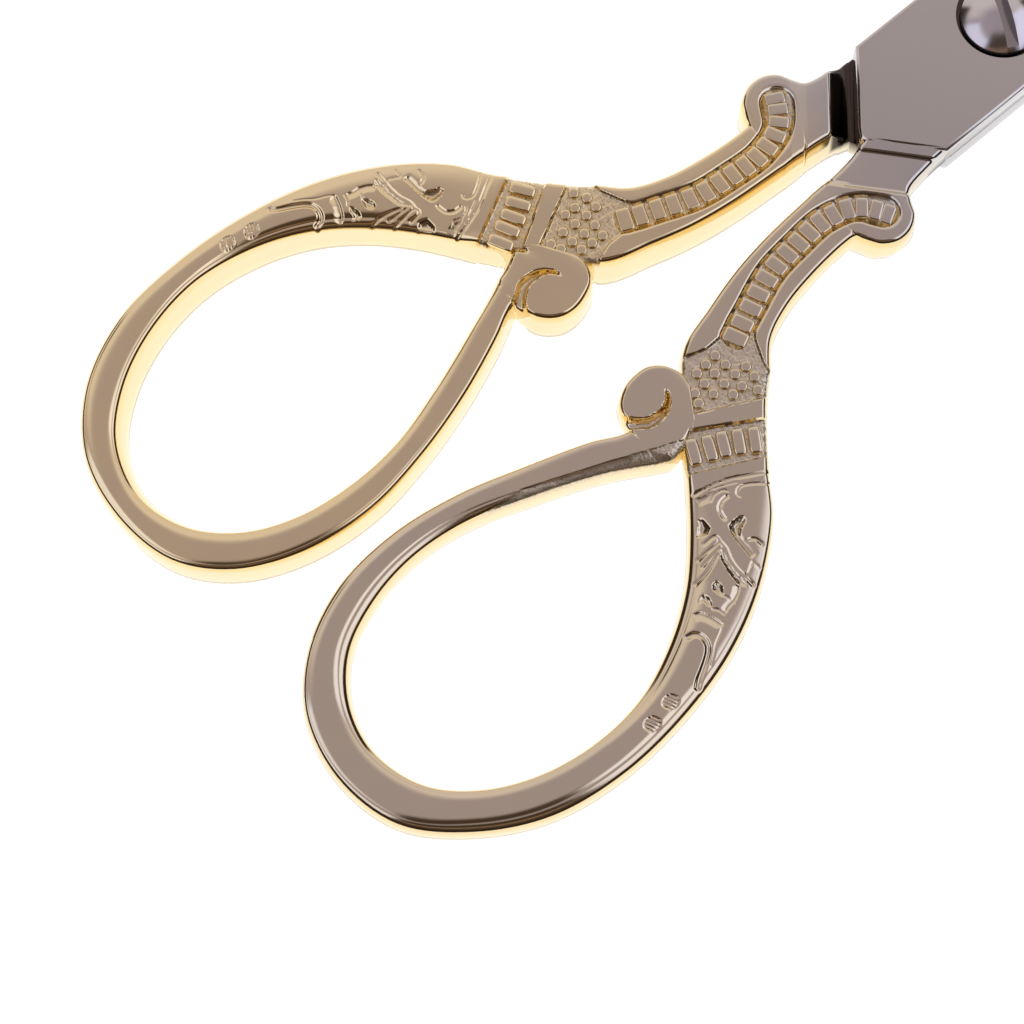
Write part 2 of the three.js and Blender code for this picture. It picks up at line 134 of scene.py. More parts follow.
# %% Edge points, from the neck round the bow to the scroll
neck_rows = [
    row(behind_plate(STOP_GAP, 0.4 * NECK_IN), behind_plate(STOP_GAP, NECK_OUT_START), 0.12),
    row(behind_plate(NECK_LENGTH / 2, 0.8 * NECK_IN), behind_plate(NECK_LENGTH / 2, NECK_OUT_START + 0.1), 0.12),
    row(behind_plate(NECK_LENGTH, NECK_IN), behind_plate(NECK_LENGTH, NECK_OUT_END), 0.12),
]
knob_rows = [
    row((16.6 + 0.2 * i, 0.93 + 0.01 * i), on_circle(KNOB, KNOB_RADIUS, degrees), 0.11)
    for i, degrees in enumerate((166, 136, 106, 76, 46, 21))
]
shank_rows = [
    row((17.95, 0.98), (17.98, 5.4), 0.18),
    row((18.4, 1.02), (18.6, 5.32), 0.2),
    row((22.2, 1.3), (21.6, 5.55), 0.2),
    row((25.4, 1.8), (24.4, 6.1), 0.18),
    row((28.4, 2.6), (26.6, 7.05), 0.12),
    row((31.6, 3.7), (28.15, 8.6), 0.12),
    row((34.6, 7.2), (29.7, 10.0), 0.11),
    row((35.5, 8.2), (30.6, 11.0), 0.11),
    row((37.1, 10.3), (32.1, 12.8), 0.11),
    row((37.8, 11.2), (32.8, 13.65), 0.095, (0.2, 0.05), (0.45, 0.3)),
]
leaf_rows = [
    row((39.4, 13.1), (34.6, 15.8), 0.095, (0.3, 0.1), (0.55, 0.3)),
    row((41.7, 15.6), (37.65, 18.45), 0.095, (0.3, 0.1), (0.55, 0.4)),
    row((44.7, 17.8), (41.75, 20.55), 0.09, (0.25, 0.1), (0.5, 0.55)),
    row((48.3, 19.3), (46.5, 21.85), 0.09, (0.18, 0.12), (0.4, 0.6)),
]
BOW_DOMES = (0.1, 0.1)
bow_rows = [
    row((52.4, 19.6), (52.2, 22.33), 0.5, BOW_DOMES, (0.28, 0.6)),
    row((56.4, 19.0), (57.5, 21.45), 0.6, BOW_DOMES, (0.28, 0.6)),
    row((60.0, 17.35), (61.9, 19.1), 0.6, BOW_DOMES, (0.28, 0.55)),
    row((62.3, 14.6), (64.9, 15.5), 0.6, BOW_DOMES, (0.3, 0.45)),
    row((63.2, 11.0), (66.0, 10.9), 0.6, BOW_DOMES, (0.4, 0.35)),
    row((62.6, 7.8), (65.15, 6.45), 0.6, BOW_DOMES, (0.5, 0.3)),
    row((60.6, 5.1), (62.5, 3.35), 0.6, BOW_DOMES, (0.6, 0.3)),
    row((57.4, 3.6), (58.3, 1.5), 0.6, BOW_DOMES, (0.6, 0.28)),
    row((53.6, 3.25), (53.4, 1.0), 0.6, (0.08, 0.08), (0.5, 0.28)),
    row((49.6, 3.65), (48.7, 1.65), 0.4, (0.05, 0.05), (0.5, 0.28)),
    row((45.2, 5.1), (44.1, 2.95), 0.3, (0.04, 0.02), (0.5, 0.28)),
]
arm_rows = [
    row((41.0, 6.85), (40.0, 4.6), 0.14, bevels=(0.75, 0.28)),
    row((38.6, 8.15), (38.3, 5.35), 0.12, bevels=(1.0, 0.28)),
    row((37.75, 8.65), (37.7, 5.5), 0.12, bevels=(1.0, 0.28)),
]
scroll_rows = [
    row(hole, on_circle(SCROLL, radius, degrees), 0.12, (fall, fall), bevels)
    for hole, degrees, radius, fall, bevels in (
        ((37.2, 8.95), 0, 2.6, 0, (0.8, 0.28)), ((36.75, 9.05), -30, 2.45, 0, (0.6, 0.28)),
        ((36.3, 9.0), -60, 2.27, 0, (0.5, 0.28)), ((35.8, 8.9), -90, 2.23, 0, (0.4, 0.28)),
        ((35.4, 8.75), -120, 2.42, 0, (0.3, 0.28)), ((35.1, 8.6), -150, 2.65, 0, (0.2, 0.2)),
        ((34.95, 8.5), -180, 2.7, 0.02, (0.1, 0.1)), ((34.85, 8.4), -212, 2.45, 0.06, (0.05, 0.05)),
        ((34.8, 8.3), -232, 2.65, 0.09, (0.04, 0.04)), ((34.7, 8.3), -246, 2.85, 0.1, (0.04, 0.04)),
    )
]
to_arm = neck_rows + knob_rows + shank_rows + leaf_rows + bow_rows + arm_rows[:1]
rows = np.array(to_arm + arm_rows[1:] + scroll_rows)
after_leaf = len(neck_rows + knob_rows + shank_rows + leaf_rows)
print(len(rows), "pairs of edge points")


# %% [markdown]
# ## A smooth line through points
#
# The curve passes through every point. Its pace goes by the square root of the gaps between them, so it doesn't
# overshoot where points lie close together, as they do round the knob. The CAD model draws its edges with the
# same kind of curve.

# %% Curve through points
def smooth_line(points, shares):
    """The curve's places at shares, counted in points from the first one."""
    points = np.asarray(points, float)
    padded = np.vstack([2 * points[0] - points[1], points, 2 * points[-1] - points[-2]])
    first = np.clip(shares.astype(int), 0, len(points) - 2)
    t = (shares - first)[:, None]
    p0, p1, p2, p3 = (padded[first + k] for k in range(4))
    d0, d1, d2 = (
        np.maximum(np.linalg.norm(b - a, axis=1), 1e-6)[:, None] ** 0.5
        for a, b in ((p0, p1), (p1, p2), (p2, p3))
    )
    m1 = d1 * ((p1 - p0) / d0 - (p2 - p0) / (d0 + d1) + (p2 - p1) / d1)
    m2 = d1 * ((p2 - p1) / d1 - (p3 - p1) / (d1 + d2) + (p3 - p2) / d2)
    return p1 + m1 * t + (3 * (p2 - p1) - 2 * m1 - m2) * t**2 + (2 * (p1 - p2) + m1 + m2) * t**3


def dense(points, count=60):
    """Places evenly shared along the whole curve."""
    return smooth_line(points, np.linspace(0, len(points) - 1, count))


def stations(table):
    """Shares along the table of rows, close together where the metal is carved."""
    shares = []
    for i, (first, second) in enumerate(zip(table, table[1:])):
        length = max(np.linalg.norm(second[:2] - first[:2]), np.linalg.norm(second[2:4] - first[2:4]))
        count = max(2, math.ceil(length / first[4]))
        shares.extend(i + np.arange(count) / count)
    return np.array([*shares, len(table) - 1.0])


shares = stations(rows)
hole_dome, outer_dome, hole_bevel, outer_bevel = (
    np.interp(shares, np.arange(len(rows)), rows[:, column]) for column in (5, 6, 7, 8)
)
seam = int(np.argmin(np.abs(shares - (len(to_arm) - 1))))
print(len(shares), "stations along the handle, the scroll's own from", seam)


# %% [markdown]
# ## How each half was filed
#
# Both halves come from one pattern, and then someone filed and polished each by hand. The front half got wide
# bevels, nearly upright sides and a smaller finger hole. The rear half got narrow bevels, and sides that lean in
# towards its far face, the one that is turned up. So one table of rows serves both, with the metal that each edge
# has more or less of, first from the leaf to the arm and then round the scroll. Drafts are for hole and outer side,
# the widest bevels for leaf and bow, and the slope is the share that was filed of the facet along the plain arm.

# %% Filing of the two halves
Filing = namedtuple("Filing", "hole outer scroll_hole scroll_outer widest_bevel own_draft far_draft slope")
front_filing = Filing(
    hole=(0, 0.15, 0.35, 0.4, 0.32, 0.45, 0.6, 0.37, 0.29, 0.45, 0.55, 0.45, 0.1, 0.05, 0.05, 0),
    outer=(0.15, 0, 0, -0.05, -0.1, -0.12, -0.2, 0.1, 0, -0.2, -0.2, 0, 0, 0, -0.1, 0.1),
    scroll_hole=(0,) * 12, scroll_outer=(0, 0, 0, 0, 0, 0, 0, -0.15, -0.35, -0.4, -0.4, -0.3),
    widest_bevel=(1.0, 1.0), own_draft=(0.18, 0.18), far_draft=(0.2, 0.35), slope=1.0,
)
rear_filing = Filing(
    hole=(-0.15, -0.15, -0.15, -0.06, -0.25, -0.06, 0.1, -0.2, -0.35, 0, 0.45, 0.45, 0.2, 0, -0.2, -0.4),
    outer=(0.3, 0.25, 0.25, 0.15, 0, 0.2, 0.3, 0.2, 0, 0, 0, 0.1, 0.2, 0.2, 0.2, 0.2),
    scroll_hole=(-0.78, -0.92, -1.02, -0.95, -0.65, -0.28, 0, 0, 0, 0, 0, 0),
    scroll_outer=(0.094, 0.044, -0.006, 0.094, 0.274, 0.284, 0.194, 0.274, 0.194, 0.044, -0.006, -0.006),
    widest_bevel=(0.55, 0.28), own_draft=(0.0, 0.0), far_draft=(0.4, 0.15), slope=0.2,
)
filed_rows = slice(len(neck_rows + knob_rows + shank_rows), None)
print(len(rows[filed_rows]), "filed rows")


def filed_edges(filing):
    """Hole edge and outer edge of one half."""
    hole, outer = rows[:, 0:2].copy(), rows[:, 2:4].copy()
    across = outer[filed_rows] - hole[filed_rows]
    across /= np.linalg.norm(across, axis=1)[:, None]
    hole[filed_rows] -= across * np.array(filing.hole + filing.scroll_hole)[:, None]
    outer[filed_rows] += across * np.array(filing.outer + filing.scroll_outer)[:, None]
    return smooth_line(hole, shares), smooth_line(outer, shares)


# %% [markdown]
# ## Carved ornament as a height
#
# The carving is on both faces and nowhere undercut, so it can be written as a height: for a point of the plan,
# how far the surface lies below the polished face. Each motif is a small function of the distance to a line or
# to an outline. A displacement painted on a texture would be quicker, but it would not give real geometry, and
# sculpting by hand would not repeat. Written this way, every stroke of the graver has its place and depth.

# %% Distances in the plan
def ease(value, low, high):
    """0 below low, 1 above high, and an S-shaped ramp between them."""
    t = np.clip((value - low) / (high - low), 0, 1)
    return t * t * (3 - 2 * t)


def to_line(places, line):
    """Distance to a broken line, its sign by the side, and the share of its length at the nearest point."""
    line = np.asarray(line, float)
    runs = np.linalg.norm(np.diff(line, axis=0), axis=1)
    reached = np.concatenate([[0], np.cumsum(runs)])
    best = np.full(len(places), np.inf)
    side, share = np.zeros(len(places)), np.zeros(len(places))
    for start, end, run, done in zip(line, line[1:], runs, reached):
        way = (end - start) / run
        offset = places - start
        along = np.clip(offset @ way, 0, run)
        away = np.linalg.norm(offset - along[:, None] * way, axis=1)
        nearer = away < best
        best = np.where(nearer, away, best)
        side = np.where(nearer, np.sign(way[0] * offset[:, 1] - way[1] * offset[:, 0]), side)
        share = np.where(nearer, (done + along) / reached[-1], share)
    return best, side, share


def inside(places, outline):
    """Distance into a closed outline, negative outside it."""
    outline = np.asarray(outline, float)
    away, _, _ = to_line(places, np.vstack([outline, outline[:1]]))
    x, y = places.T
    within = np.zeros(len(places), bool)
    for (x0, y0), (x1, y1) in zip(outline, np.roll(outline, -1, axis=0)):
        crosses = (y0 > y) != (y1 > y)
        within ^= crosses & (x < (x1 - x0) * (y - y0) / np.where(y1 == y0, 1e-9, y1 - y0) + x0)
    return np.where(within, away, -away)


print("ramp's middle is", ease(0.5, 0, 1))

# %% Strokes of the graver
GRAVER_SLOPE = 0.5
PIT_EDGE = 0.35  # share of a pit's depth that its crisp edge takes
END_SHARE = 0.08  # share of a ledge's length over which each end runs out


def groove(places, line, half):
    """A rounded groove along a line, deeper the wider it is."""
    away, _, _ = to_line(places, dense(line, 8 * len(line)))
    return GRAVER_SLOPE * half * (1 - ease(away, 0.1 * half, half))


def pit(places, outline, depth):
    """A sunk field with a crisp edge and a dished floor."""
    within = inside(places, outline)
    return depth * (PIT_EDGE * ease(within, 0.0, 0.08) + (1 - PIT_EDGE) * ease(within, 0.04, 0.36))


def ledge(places, line, depth, reach):
    """A step down on the left of a line, which runs out to nothing over its reach."""
    away, side, share = to_line(places, dense(line, 8 * len(line)))
    ends = ease(share, 0.0, END_SHARE) * (1 - ease(share, 1 - END_SHARE, 1.0))
    step = ease(away * side, -0.04, 0.1) * (1 - ease(away, 0.1, reach))
    return depth * step * ends


print("a groove 0.4 mm wide is", GRAVER_SLOPE * 0.2, "mm deep")

# %% Grain of the cast ground
WAVE_COUNT = 36
GRAIN_FINENESS = 17.0  # radians per millimetre, about
grain = np.random.default_rng(7)
GRAIN_WAVES = grain.normal(size=(WAVE_COUNT, 2)) * GRAIN_FINENESS
GRAIN_PHASES = grain.uniform(0, 2 * math.pi, WAVE_COUNT)


def rough(places):
    """Fine uneven height, about -1 to 1, of metal that was cast or struck and not polished."""
    return np.sin(places @ GRAIN_WAVES.T + GRAIN_PHASES).sum(1) / math.sqrt(WAVE_COUNT)


print("grain at the knob:", rough(np.array([KNOB])).round(2))

# %% [markdown]
# ## Ladder, bead panel, bands and rods
#
# A channel runs down the shank and hooks into the knob. It holds a ladder of flat pads. Below it lies a panel of
# beads, then a polished band, a panel of rods and a second band. Here only the sunk ground is cut. The pads,
# beads and rods repeat, so Geometry Nodes place them later.

# %% Sunk ground of the ladder and the panels
PADS = [
    (28.45, 5.38), (27.49, 4.96), (26.37, 4.53), (25.35, 4.11), (24.26, 3.70), (23.17, 3.42), (22.08, 3.28),
    (21.02, 3.18), (20.0, 3.08), (19.0, 3.05), (18.0, 3.2), (17.06, 3.48), (16.25, 4.02), (15.68, 4.73), (15.3, 5.45),
]
CHANNEL = dense(PADS[:-1] + [(15.42, 5.1)], 160)
CHANNEL_HALF_WIDTH = 1.14
CHANNEL_SIDE = 0.45
CHANNEL_FLARE = 0.14  # how much wider the channel gets in the knob
CHANNEL_DEPTH = 0.32
BEAD_GROUND = [
    (32.7, 3.3), (31.48, 4.32), (30.34, 4.69), (29.29, 4.66), (28.72, 4.52), (27.9, 4.6), (27.3, 5.4), (27.14, 5.88),
    (27.53, 6.32), (28.22, 7.9), (28.28, 8.46), (28.2, 9.6), (29.2, 10.1), (30.0, 9.61), (34.2, 7.45), (34.0, 7.15),
    (33.7, 6.4), (32.85, 5.2), (33.1, 4.3),
]
BEAD_GROUND_DEPTH = 0.26
ROD_GROUND = [
    (30.25, 10.85), (30.68, 10.6), (34.97, 8.04), (36.2, 8.2), (38.2, 9.9), (36.56, 10.57), (32.5, 12.62),
    (32.1, 12.75),
]
ROD_GROUND_DEPTH = 0.32
PANEL_SIDE = 0.16
GRAIN_DEPTH = 0.02


def channel(places):
    """Share of the ladder channel's depth: 1 on its floor, 0 outside it."""
    away, _, share = to_line(places, CHANNEL)
    half = CHANNEL_HALF_WIDTH + CHANNEL_FLARE * ease(share, 0.86, 1.0)
    return 1 - ease(away, half - CHANNEL_SIDE, half)


def panels(places):
    """Shares of the bead panel's and the rod panel's depth."""
    return [ease(inside(places, outline), 0.0, PANEL_SIDE) for outline in (BEAD_GROUND, ROD_GROUND)]


def ground(places):
    """Depth of the sunk ground."""
    beads, rods = panels(places)
    cuts = [CHANNEL_DEPTH * channel(places), BEAD_GROUND_DEPTH * beads, ROD_GROUND_DEPTH * rods]
    depth = np.max(cuts, axis=0)
    return depth + GRAIN_DEPTH * rough(places) * ease(depth, 0.12, 0.25)


print("channel's floor lies", ground(np.array(PADS[:1])).round(2), "mm deep under the first pad")

# %% [markdown]
# ## Leaf carving
#
# Where the shank runs into the bow, a leaf with a split stem is carved, then a curling tendril and two small
# hatched seeds. It is a traditional acanthus kind of ornament. The strokes below were laid out one by one.

# %% Grooves of the leaf
LEAF_GROOVES = [  # half width and line
    (0.16, [(37.5, 11.52), (36.61, 11.74), (35.83, 11.95), (34.9, 12.34), (34.0, 12.86), (33.0, 13.42)]),
    (0.1, [(37.14, 11.79), (36.3, 12.05), (35.5, 12.39), (34.91, 12.67)]),
    (0.13, [(33.4, 14.0), (34.43, 13.25), (34.89, 13.05), (35.22, 13.13), (35.39, 13.32), (35.36, 13.5)]),
    (0.12, [(36.96, 12.56), (36.62, 12.4), (36.23, 12.4), (35.86, 12.55), (35.73, 12.76)]),
    (0.2, [(36.0, 12.99), (36.38, 12.99), (36.66, 13.09), (36.91, 13.33), (37.02, 13.63), (37.07, 13.98)]),
    (0.16, [(36.95, 15.95), (36.67, 16.03), (36.47, 16.23), (36.38, 16.7)]),
    (0.1, [(37.59, 17.19), (37.53, 17.76)]),
    (0.16, [(39.07, 14.36), (38.3, 14.43), (38.19, 14.59)]),
    (0.16, [(40.08, 14.86), (39.39, 14.87), (38.46, 14.89), (38.22, 14.77)]),
    (0.14, [(40.16, 15.38), (39.17, 15.26), (38.58, 15.17)]),
    (0.16, [(41.21, 15.91), (40.28, 15.87), (39.53, 15.66), (38.95, 15.44)]),
    (0.2, [(38.28, 14.98), (38.29, 15.42), (38.54, 16.12), (38.64, 16.88), (38.61, 17.55), (38.58, 18.29)]),
    (0.1, [(37.66, 17.2), (38.3, 17.56), (38.55, 17.48)]),
    (0.12, [(40.4, 17.69), (40.27, 18.01), (40.17, 18.43)]),
    (0.12, [(41.5, 17.85), (41.27, 18.13), (41.17, 18.55)]),
    (0.1, [(41.64, 18.92), (42.06, 19.25), (42.78, 19.6), (43.42, 20.08), (43.92, 20.41)]),
    (0.27, [(43.86, 18.16), (43.46, 18.29), (43.23, 18.54), (43.15, 18.94), (43.26, 19.36), (43.55, 19.7),
            (43.9, 19.95), (44.5, 20.3), (45.1, 20.62), (45.5, 20.95)]),
]
print(len(LEAF_GROOVES), "grooves")

# %% Pits, ledges and seeds of the leaf
LEAF_PITS = [  # depth and outline
    (0.12, [(37.6, 11.75), (36.6, 11.95), (36.3, 12.3), (36.65, 12.4), (37.0, 12.6), (37.7, 12.3)]),
    (0.3, [(37.16, 14.43), (36.81, 14.4), (36.32, 14.42), (36.0, 14.6), (36.09, 14.95), (36.54, 15.1), (36.94, 15.34),
           (37.07, 15.69), (37.3, 15.6), (37.42, 15.3), (37.31, 14.89)]),
    (0.24, [(38.33, 12.89), (38.06, 13.01), (38.09, 13.83), (38.67, 14.06), (39.18, 13.73)]),
    (0.2, [(38.28, 15.0), (38.29, 15.42), (38.54, 16.12), (38.64, 16.88), (38.61, 17.55), (38.9, 18.2),
           (39.29, 17.81), (39.26, 17.06), (39.15, 16.38), (39.04, 15.76), (38.7, 15.3)]),
    (0.24, [(40.45, 16.59), (40.11, 16.6), (39.99, 16.92), (40.12, 17.3), (40.4, 17.69), (40.59, 17.59),
            (40.68, 17.24), (40.7, 16.87)]),
    (0.24, [(41.96, 16.98), (41.52, 16.72), (41.26, 16.74), (41.14, 17.06), (41.23, 17.47), (41.43, 17.77),
            (41.63, 17.54), (41.65, 17.1)]),
]
LEAF_LEDGES = [  # depth, reach and line
    (0.16, 0.6, [(37.19, 14.47), (37.31, 14.89), (37.42, 15.51), (37.46, 16.27), (37.5, 17.02)]),
    (0.12, 0.7, [(41.7, 19.14), (41.64, 18.92), (41.74, 18.42), (41.95, 17.89), (42.23, 17.44), (42.65, 17.22)]),
    (0.1, 0.6, [(41.09, 18.62), (40.69, 18.48), (40.14, 18.4), (39.59, 18.17), (39.16, 17.84)]),
]
SEEDS = [(47.35, 20.55), (49.1, 20.85)]
SEED_HALF_LENGTH = 0.6
SEED_HALF_WIDTH = 0.5
SEED_TURN = math.radians(-20)
SEED_DEPTH = 0.03
SEED_HATCH = 0.3  # from one hatch line to the next
SEED_HATCH_DEPTH = 0.05
print(len(LEAF_PITS), "pits,", len(LEAF_LEDGES), "ledges and", len(SEEDS), "seeds")


# %% Depth of the leaf carving
def seeds(places):
    """Two shallow ovals with a hatched floor."""
    depth = np.zeros(len(places))
    for centre in SEEDS:
        across = (places - centre) @ np.array(Matrix.Rotation(SEED_TURN, 2))
        reach = np.hypot(across[:, 0] / SEED_HALF_LENGTH, across[:, 1] / SEED_HALF_WIDTH)
        hatch = 0.5 + 0.5 * np.cos((across[:, 0] + across[:, 1]) * 2 * math.pi / SEED_HATCH)
        depth += (1 - ease(reach, 0.8, 1.05)) * (SEED_DEPTH + SEED_HATCH_DEPTH * hatch)
    return depth


def leaf(places):
    """Depth of the deepest stroke at each place."""
    cuts = [groove(places, line, half) for half, line in LEAF_GROOVES]
    cuts += [ledge(places, line, depth, reach) for depth, reach, line in LEAF_LEDGES]
    fields = np.max([pit(places, outline, depth) for depth, outline in LEAF_PITS], axis=0)
    grainy = fields + GRAIN_DEPTH * rough(places) * ease(fields, 0.05, 0.15)
    return np.max([*cuts, grainy, seeds(places)], axis=0)


print("seeds are", leaf(np.array(SEEDS)).round(3), "mm deep in the middle")

# %% [markdown]
# ## Scroll
#
# The plain arm of the bow ends in a scroll that lies against the shank. A crescent groove makes it curl. Scroll
# and arm are a skin of their own, joined to the shank afterwards.

# %% Crescent of the scroll and facet of the plain arm
CRESCENT = np.vstack([
    dense([(34.12, 4.95), (34.1, 5.35), (34.29, 5.81), (35.03, 6.42), (35.85, 6.61), (36.62, 6.51), (37.22, 6.11),
           (38.1, 5.5), (38.9, 4.9)]),
    dense([(38.0, 3.9), (37.4, 4.5), (37.02, 5.15), (36.36, 5.73), (35.64, 5.89), (34.95, 5.78), (34.6, 5.55),
           (34.35, 5.25)]),
])
CRESCENT_DEPTH = 0.6
CRESCENT_SIDE = 0.3
ARM_FACET = [
    (50.0, 3.5), (45.2, 4.3), (41.2, 5.98), (39.66, 6.64), (38.11, 7.3), (36.5, 7.92), (35.4, 8.4), (36.4, 9.3),
    (38.9, 8.6), (41.5, 7.3), (45.5, 5.6), (50.0, 4.2),
]
FACET_SIDE = 0.14
FACET_DEPTH = 0.08
FACET_GRAIN = 0.012


def arm_facet(places):
    """Share of the facet filed along the plain arm: 1 on it, 0 beside it."""
    return ease(inside(places, ARM_FACET), 0.0, FACET_SIDE)


def scroll_carving(places, slope):
    """Depth of the crescent and of the arm's facet."""
    crescent = CRESCENT_DEPTH * ease(inside(places, CRESCENT), 0.0, CRESCENT_SIDE)
    return np.maximum(crescent, slope * arm_facet(places) * (FACET_DEPTH + FACET_GRAIN * rough(places)))


def shank_carving(places, _):
    """Depth of the ground and of the leaf, which are alike on both halves."""
    return np.maximum(ground(places), leaf(places))


print(len(CRESCENT), "points round the crescent")

# %% [markdown]
# ## The skin of a handle
#
# At every station a ring of points goes round the metal: up the drafted side, over the rolled bevel, across the
# face, and the same below. Rings joined by quads make a closed skin whose lines follow the metal, so that
# reflections run smoothly along the bow. A bevel modifier on a raised outline could not follow the domed leaf.

# %% Rings of the skin
FACE_POINTS = 44
CROWN = 0.03  # the polished faces are never quite flat
FULL_DRAFT_BEVEL = 0.2  # narrower bevels go with less draft
EDGE_SHARE = 0.42  # most of the width that one edge may take
BEVEL_ROLL = [(0, 1), (0.13, 0.76), (0.28, 0.53), (0.43, 0.345), (0.58, 0.2), (0.73, 0.095), (0.87, 0.03), (1, 0)]


def edge_points(edge, other, draft, dome, bevel):
    """Places and heights of the points up one edge, from the middle plane to the face."""
    way = np.gradient(edge, axis=0)
    way /= np.linalg.norm(way, axis=1)[:, None]
    across = other - edge
    width = np.linalg.norm(across, axis=1)
    across /= width[:, None]
    straight = np.clip(np.abs(way[:, 0] * across[:, 1] - way[:, 1] * across[:, 0]), 0.5, 1)
    draft = draft * np.minimum(1, bevel / FULL_DRAFT_BEVEL)
    fit = np.minimum(1, EDGE_SHARE * width * straight / (draft + bevel))
    draft, bevel = draft * fit, bevel * fit
    top = HANDLE_TOP - CROWN - dome
    height = BEVEL_HEIGHT * np.sqrt(bevel / BEVEL_WIDTH)
    foot = top - height
    insets = [(draft * share, foot * share) for share in (0.0, 0.5)]
    insets += [(draft + bevel * inset, top - height * drop) for inset, drop in BEVEL_ROLL]
    return [(edge + across * (inset / straight)[:, None], level) for inset, level in insets]


# %% Points across a face
def face_grid(hole_edge, outer_edge, draft, widest_bevel):
    """Plan places and heights of one face's points on every ring, from the outer to the hole side."""
    widest = np.interp(shares, [after_leaf - 1, after_leaf + 1], widest_bevel)
    bevels = [np.minimum(bevel, widest) for bevel in (outer_bevel, hole_bevel)]
    outer_side = edge_points(outer_edge, hole_edge, draft[1], outer_dome, bevels[0])
    hole_side = edge_points(hole_edge, outer_edge, draft[0], hole_dome, bevels[1])
    face = []
    for share in np.linspace(0, 1, FACE_POINTS + 2)[1:-1]:
        place = outer_side[-1][0] * (1 - share) + hole_side[-1][0] * share
        fall = CROWN + (outer_dome if share < 0.5 else hole_dome)
        face.append((place, HANDLE_TOP - fall * abs(2 * share - 1) ** 3))
    columns = outer_side + face + hole_side[::-1]
    return np.stack([place for place, _ in columns], axis=1), np.stack([level for _, level in columns], axis=1)


print(2 * (2 + len(BEVEL_ROLL)) + FACE_POINTS, "points across a face")

# %% Carving cut into the face
on_shank = shares <= after_leaf
on_arm = shares >= after_leaf + len(bow_rows) - 3  # the facet starts three rows before the arm
CARVED_FROM = 0.6 * HANDLE_TOP  # no carving below this, so the sides stay whole


def near_face(heights):
    """1 at the polished face, 0 on the sides."""
    return ease(heights, CARVED_FROM, HANDLE_TOP - 0.3)


def carve(places, heights, slope):
    """Heights of the face with its carving."""
    carved = np.zeros_like(heights)
    for stretch, carving in ((on_shank, shank_carving), (on_arm, scroll_carving)):
        carved[stretch] = carving(places[stretch].reshape(-1, 2), slope).reshape(-1, heights.shape[1])
    return heights - carved * near_face(heights)


print(on_shank.sum(), "stations with carving on the shank and", on_arm.sum(), "on the arm")

# %% [markdown]
# ## Neck
#
# The neck joins the handle to its plate. On its own plate's side a narrow strip runs along the plate's end, then
# the neck lies a little lower, and a crease marks the collar before the knob. On the far side it steps back so
# that the other half's plate has room, and that step is the stop when the scissors close.

# %% Heights of the neck's two faces
OWN_NECK = [  # distance behind the plate's end, and height
    (0.4, 1.78), (1.0, 1.755), (1.06, 1.7), (1.14, 1.52), (1.2, 1.5), (3.45, 1.47), (3.95, HANDLE_TOP),
]
FAR_NECK = [(1.8, 1.58), (3.3, 1.6), (4.4, HANDLE_TOP)]
STEP_RUN = 1.5
STEP_HOLLOW = 1.6  # the step's hollow curve, as a power
STEP_FOOT = 0.03  # share of the height that the metal keeps at the step's foot
COLLAR = 3.68
COLLAR_HALF_WIDTH = 0.28
COLLAR_DEPTH = 0.09
COLLAR_START = (1.6, 2.4)  # out from the middle line, where the crease fades in
NECK_WAY = np.array([PLATE_HALF_WIDTH, PLATE_POINT - PLATE_CORNER])
NECK_WAY /= np.linalg.norm(NECK_WAY)  # square to the plate's slanted end


def behind_end(places):
    """How far places lie behind the plate's slanted end."""
    return (places - (PLATE_POINT, 0)) @ NECK_WAY


def neck_face(places, level, profile):
    """Heights of a face with the neck's profile, the collar's crease on its own side and the step on the far one."""
    behind = behind_end(places)
    necked = level * np.interp(behind, *zip(*profile)) / HANDLE_TOP
    if profile is FAR_NECK:
        return necked * np.maximum(np.clip((behind - STOP_GAP) / STEP_RUN, 0, 1) ** STEP_HOLLOW, STEP_FOOT)
    crease = COLLAR_DEPTH * (1 - ease(np.abs(behind - COLLAR), 0, COLLAR_HALF_WIDTH))
    return necked - crease * ease(places[..., 1], *COLLAR_START) * near_face(level)


print("corner of the plate is", behind_end(np.array([PLATE_CORNER, PLATE_HALF_WIDTH])).round(3), "mm behind its end")

# %% Skin from rings
def skin(own_places, own_level, far_places, far_level):
    """Closed mesh points and faces from rings of plan places and heights on the two faces."""
    rings, points, _ = own_places.shape
    over = np.dstack([-own_places, own_level])
    under = np.dstack([-far_places, -far_level])[:, -2:0:-1]
    ring = np.concatenate([over, under], axis=1)
    size = ring.shape[1]
    index = np.arange(rings * size).reshape(rings, size)
    nxt = np.roll(index, -1, axis=1)
    faces = np.stack([index[:-1], nxt[:-1], nxt[1:], index[1:]], axis=2).reshape(-1, 4).tolist()
    for ends, turned in ((index[0], True), (index[-1], False)):
        above, below = ends[:points], np.concatenate([ends[:1], ends[:points - 1:-1], ends[points - 1:points]])
        for a, b, c, d in zip(above, above[1:], below[1:], below):
            loop = list(dict.fromkeys([a, d, c, b] if turned else [a, b, c, d]))
            faces.append([int(v) for v in loop])
    return ring.reshape(-1, 3), faces


# %% Skins as objects
def linked(name, data):
    """A new object in the scene."""
    thing = bpy.data.objects.new(name, data)
    bpy.context.scene.collection.objects.link(thing)
    return thing


def mesh_object(name, points, faces, edges=()):
    """A new object from points in millimetres."""
    mesh = bpy.data.meshes.new(name)
    mesh.from_pydata((np.asarray(points) * MM).tolist(), edges, faces)
    mesh.validate()
    return linked(name, mesh)


SCROLL_START = 0.3  # share by which the scroll's first ring is drawn in, so that it starts inside the handle


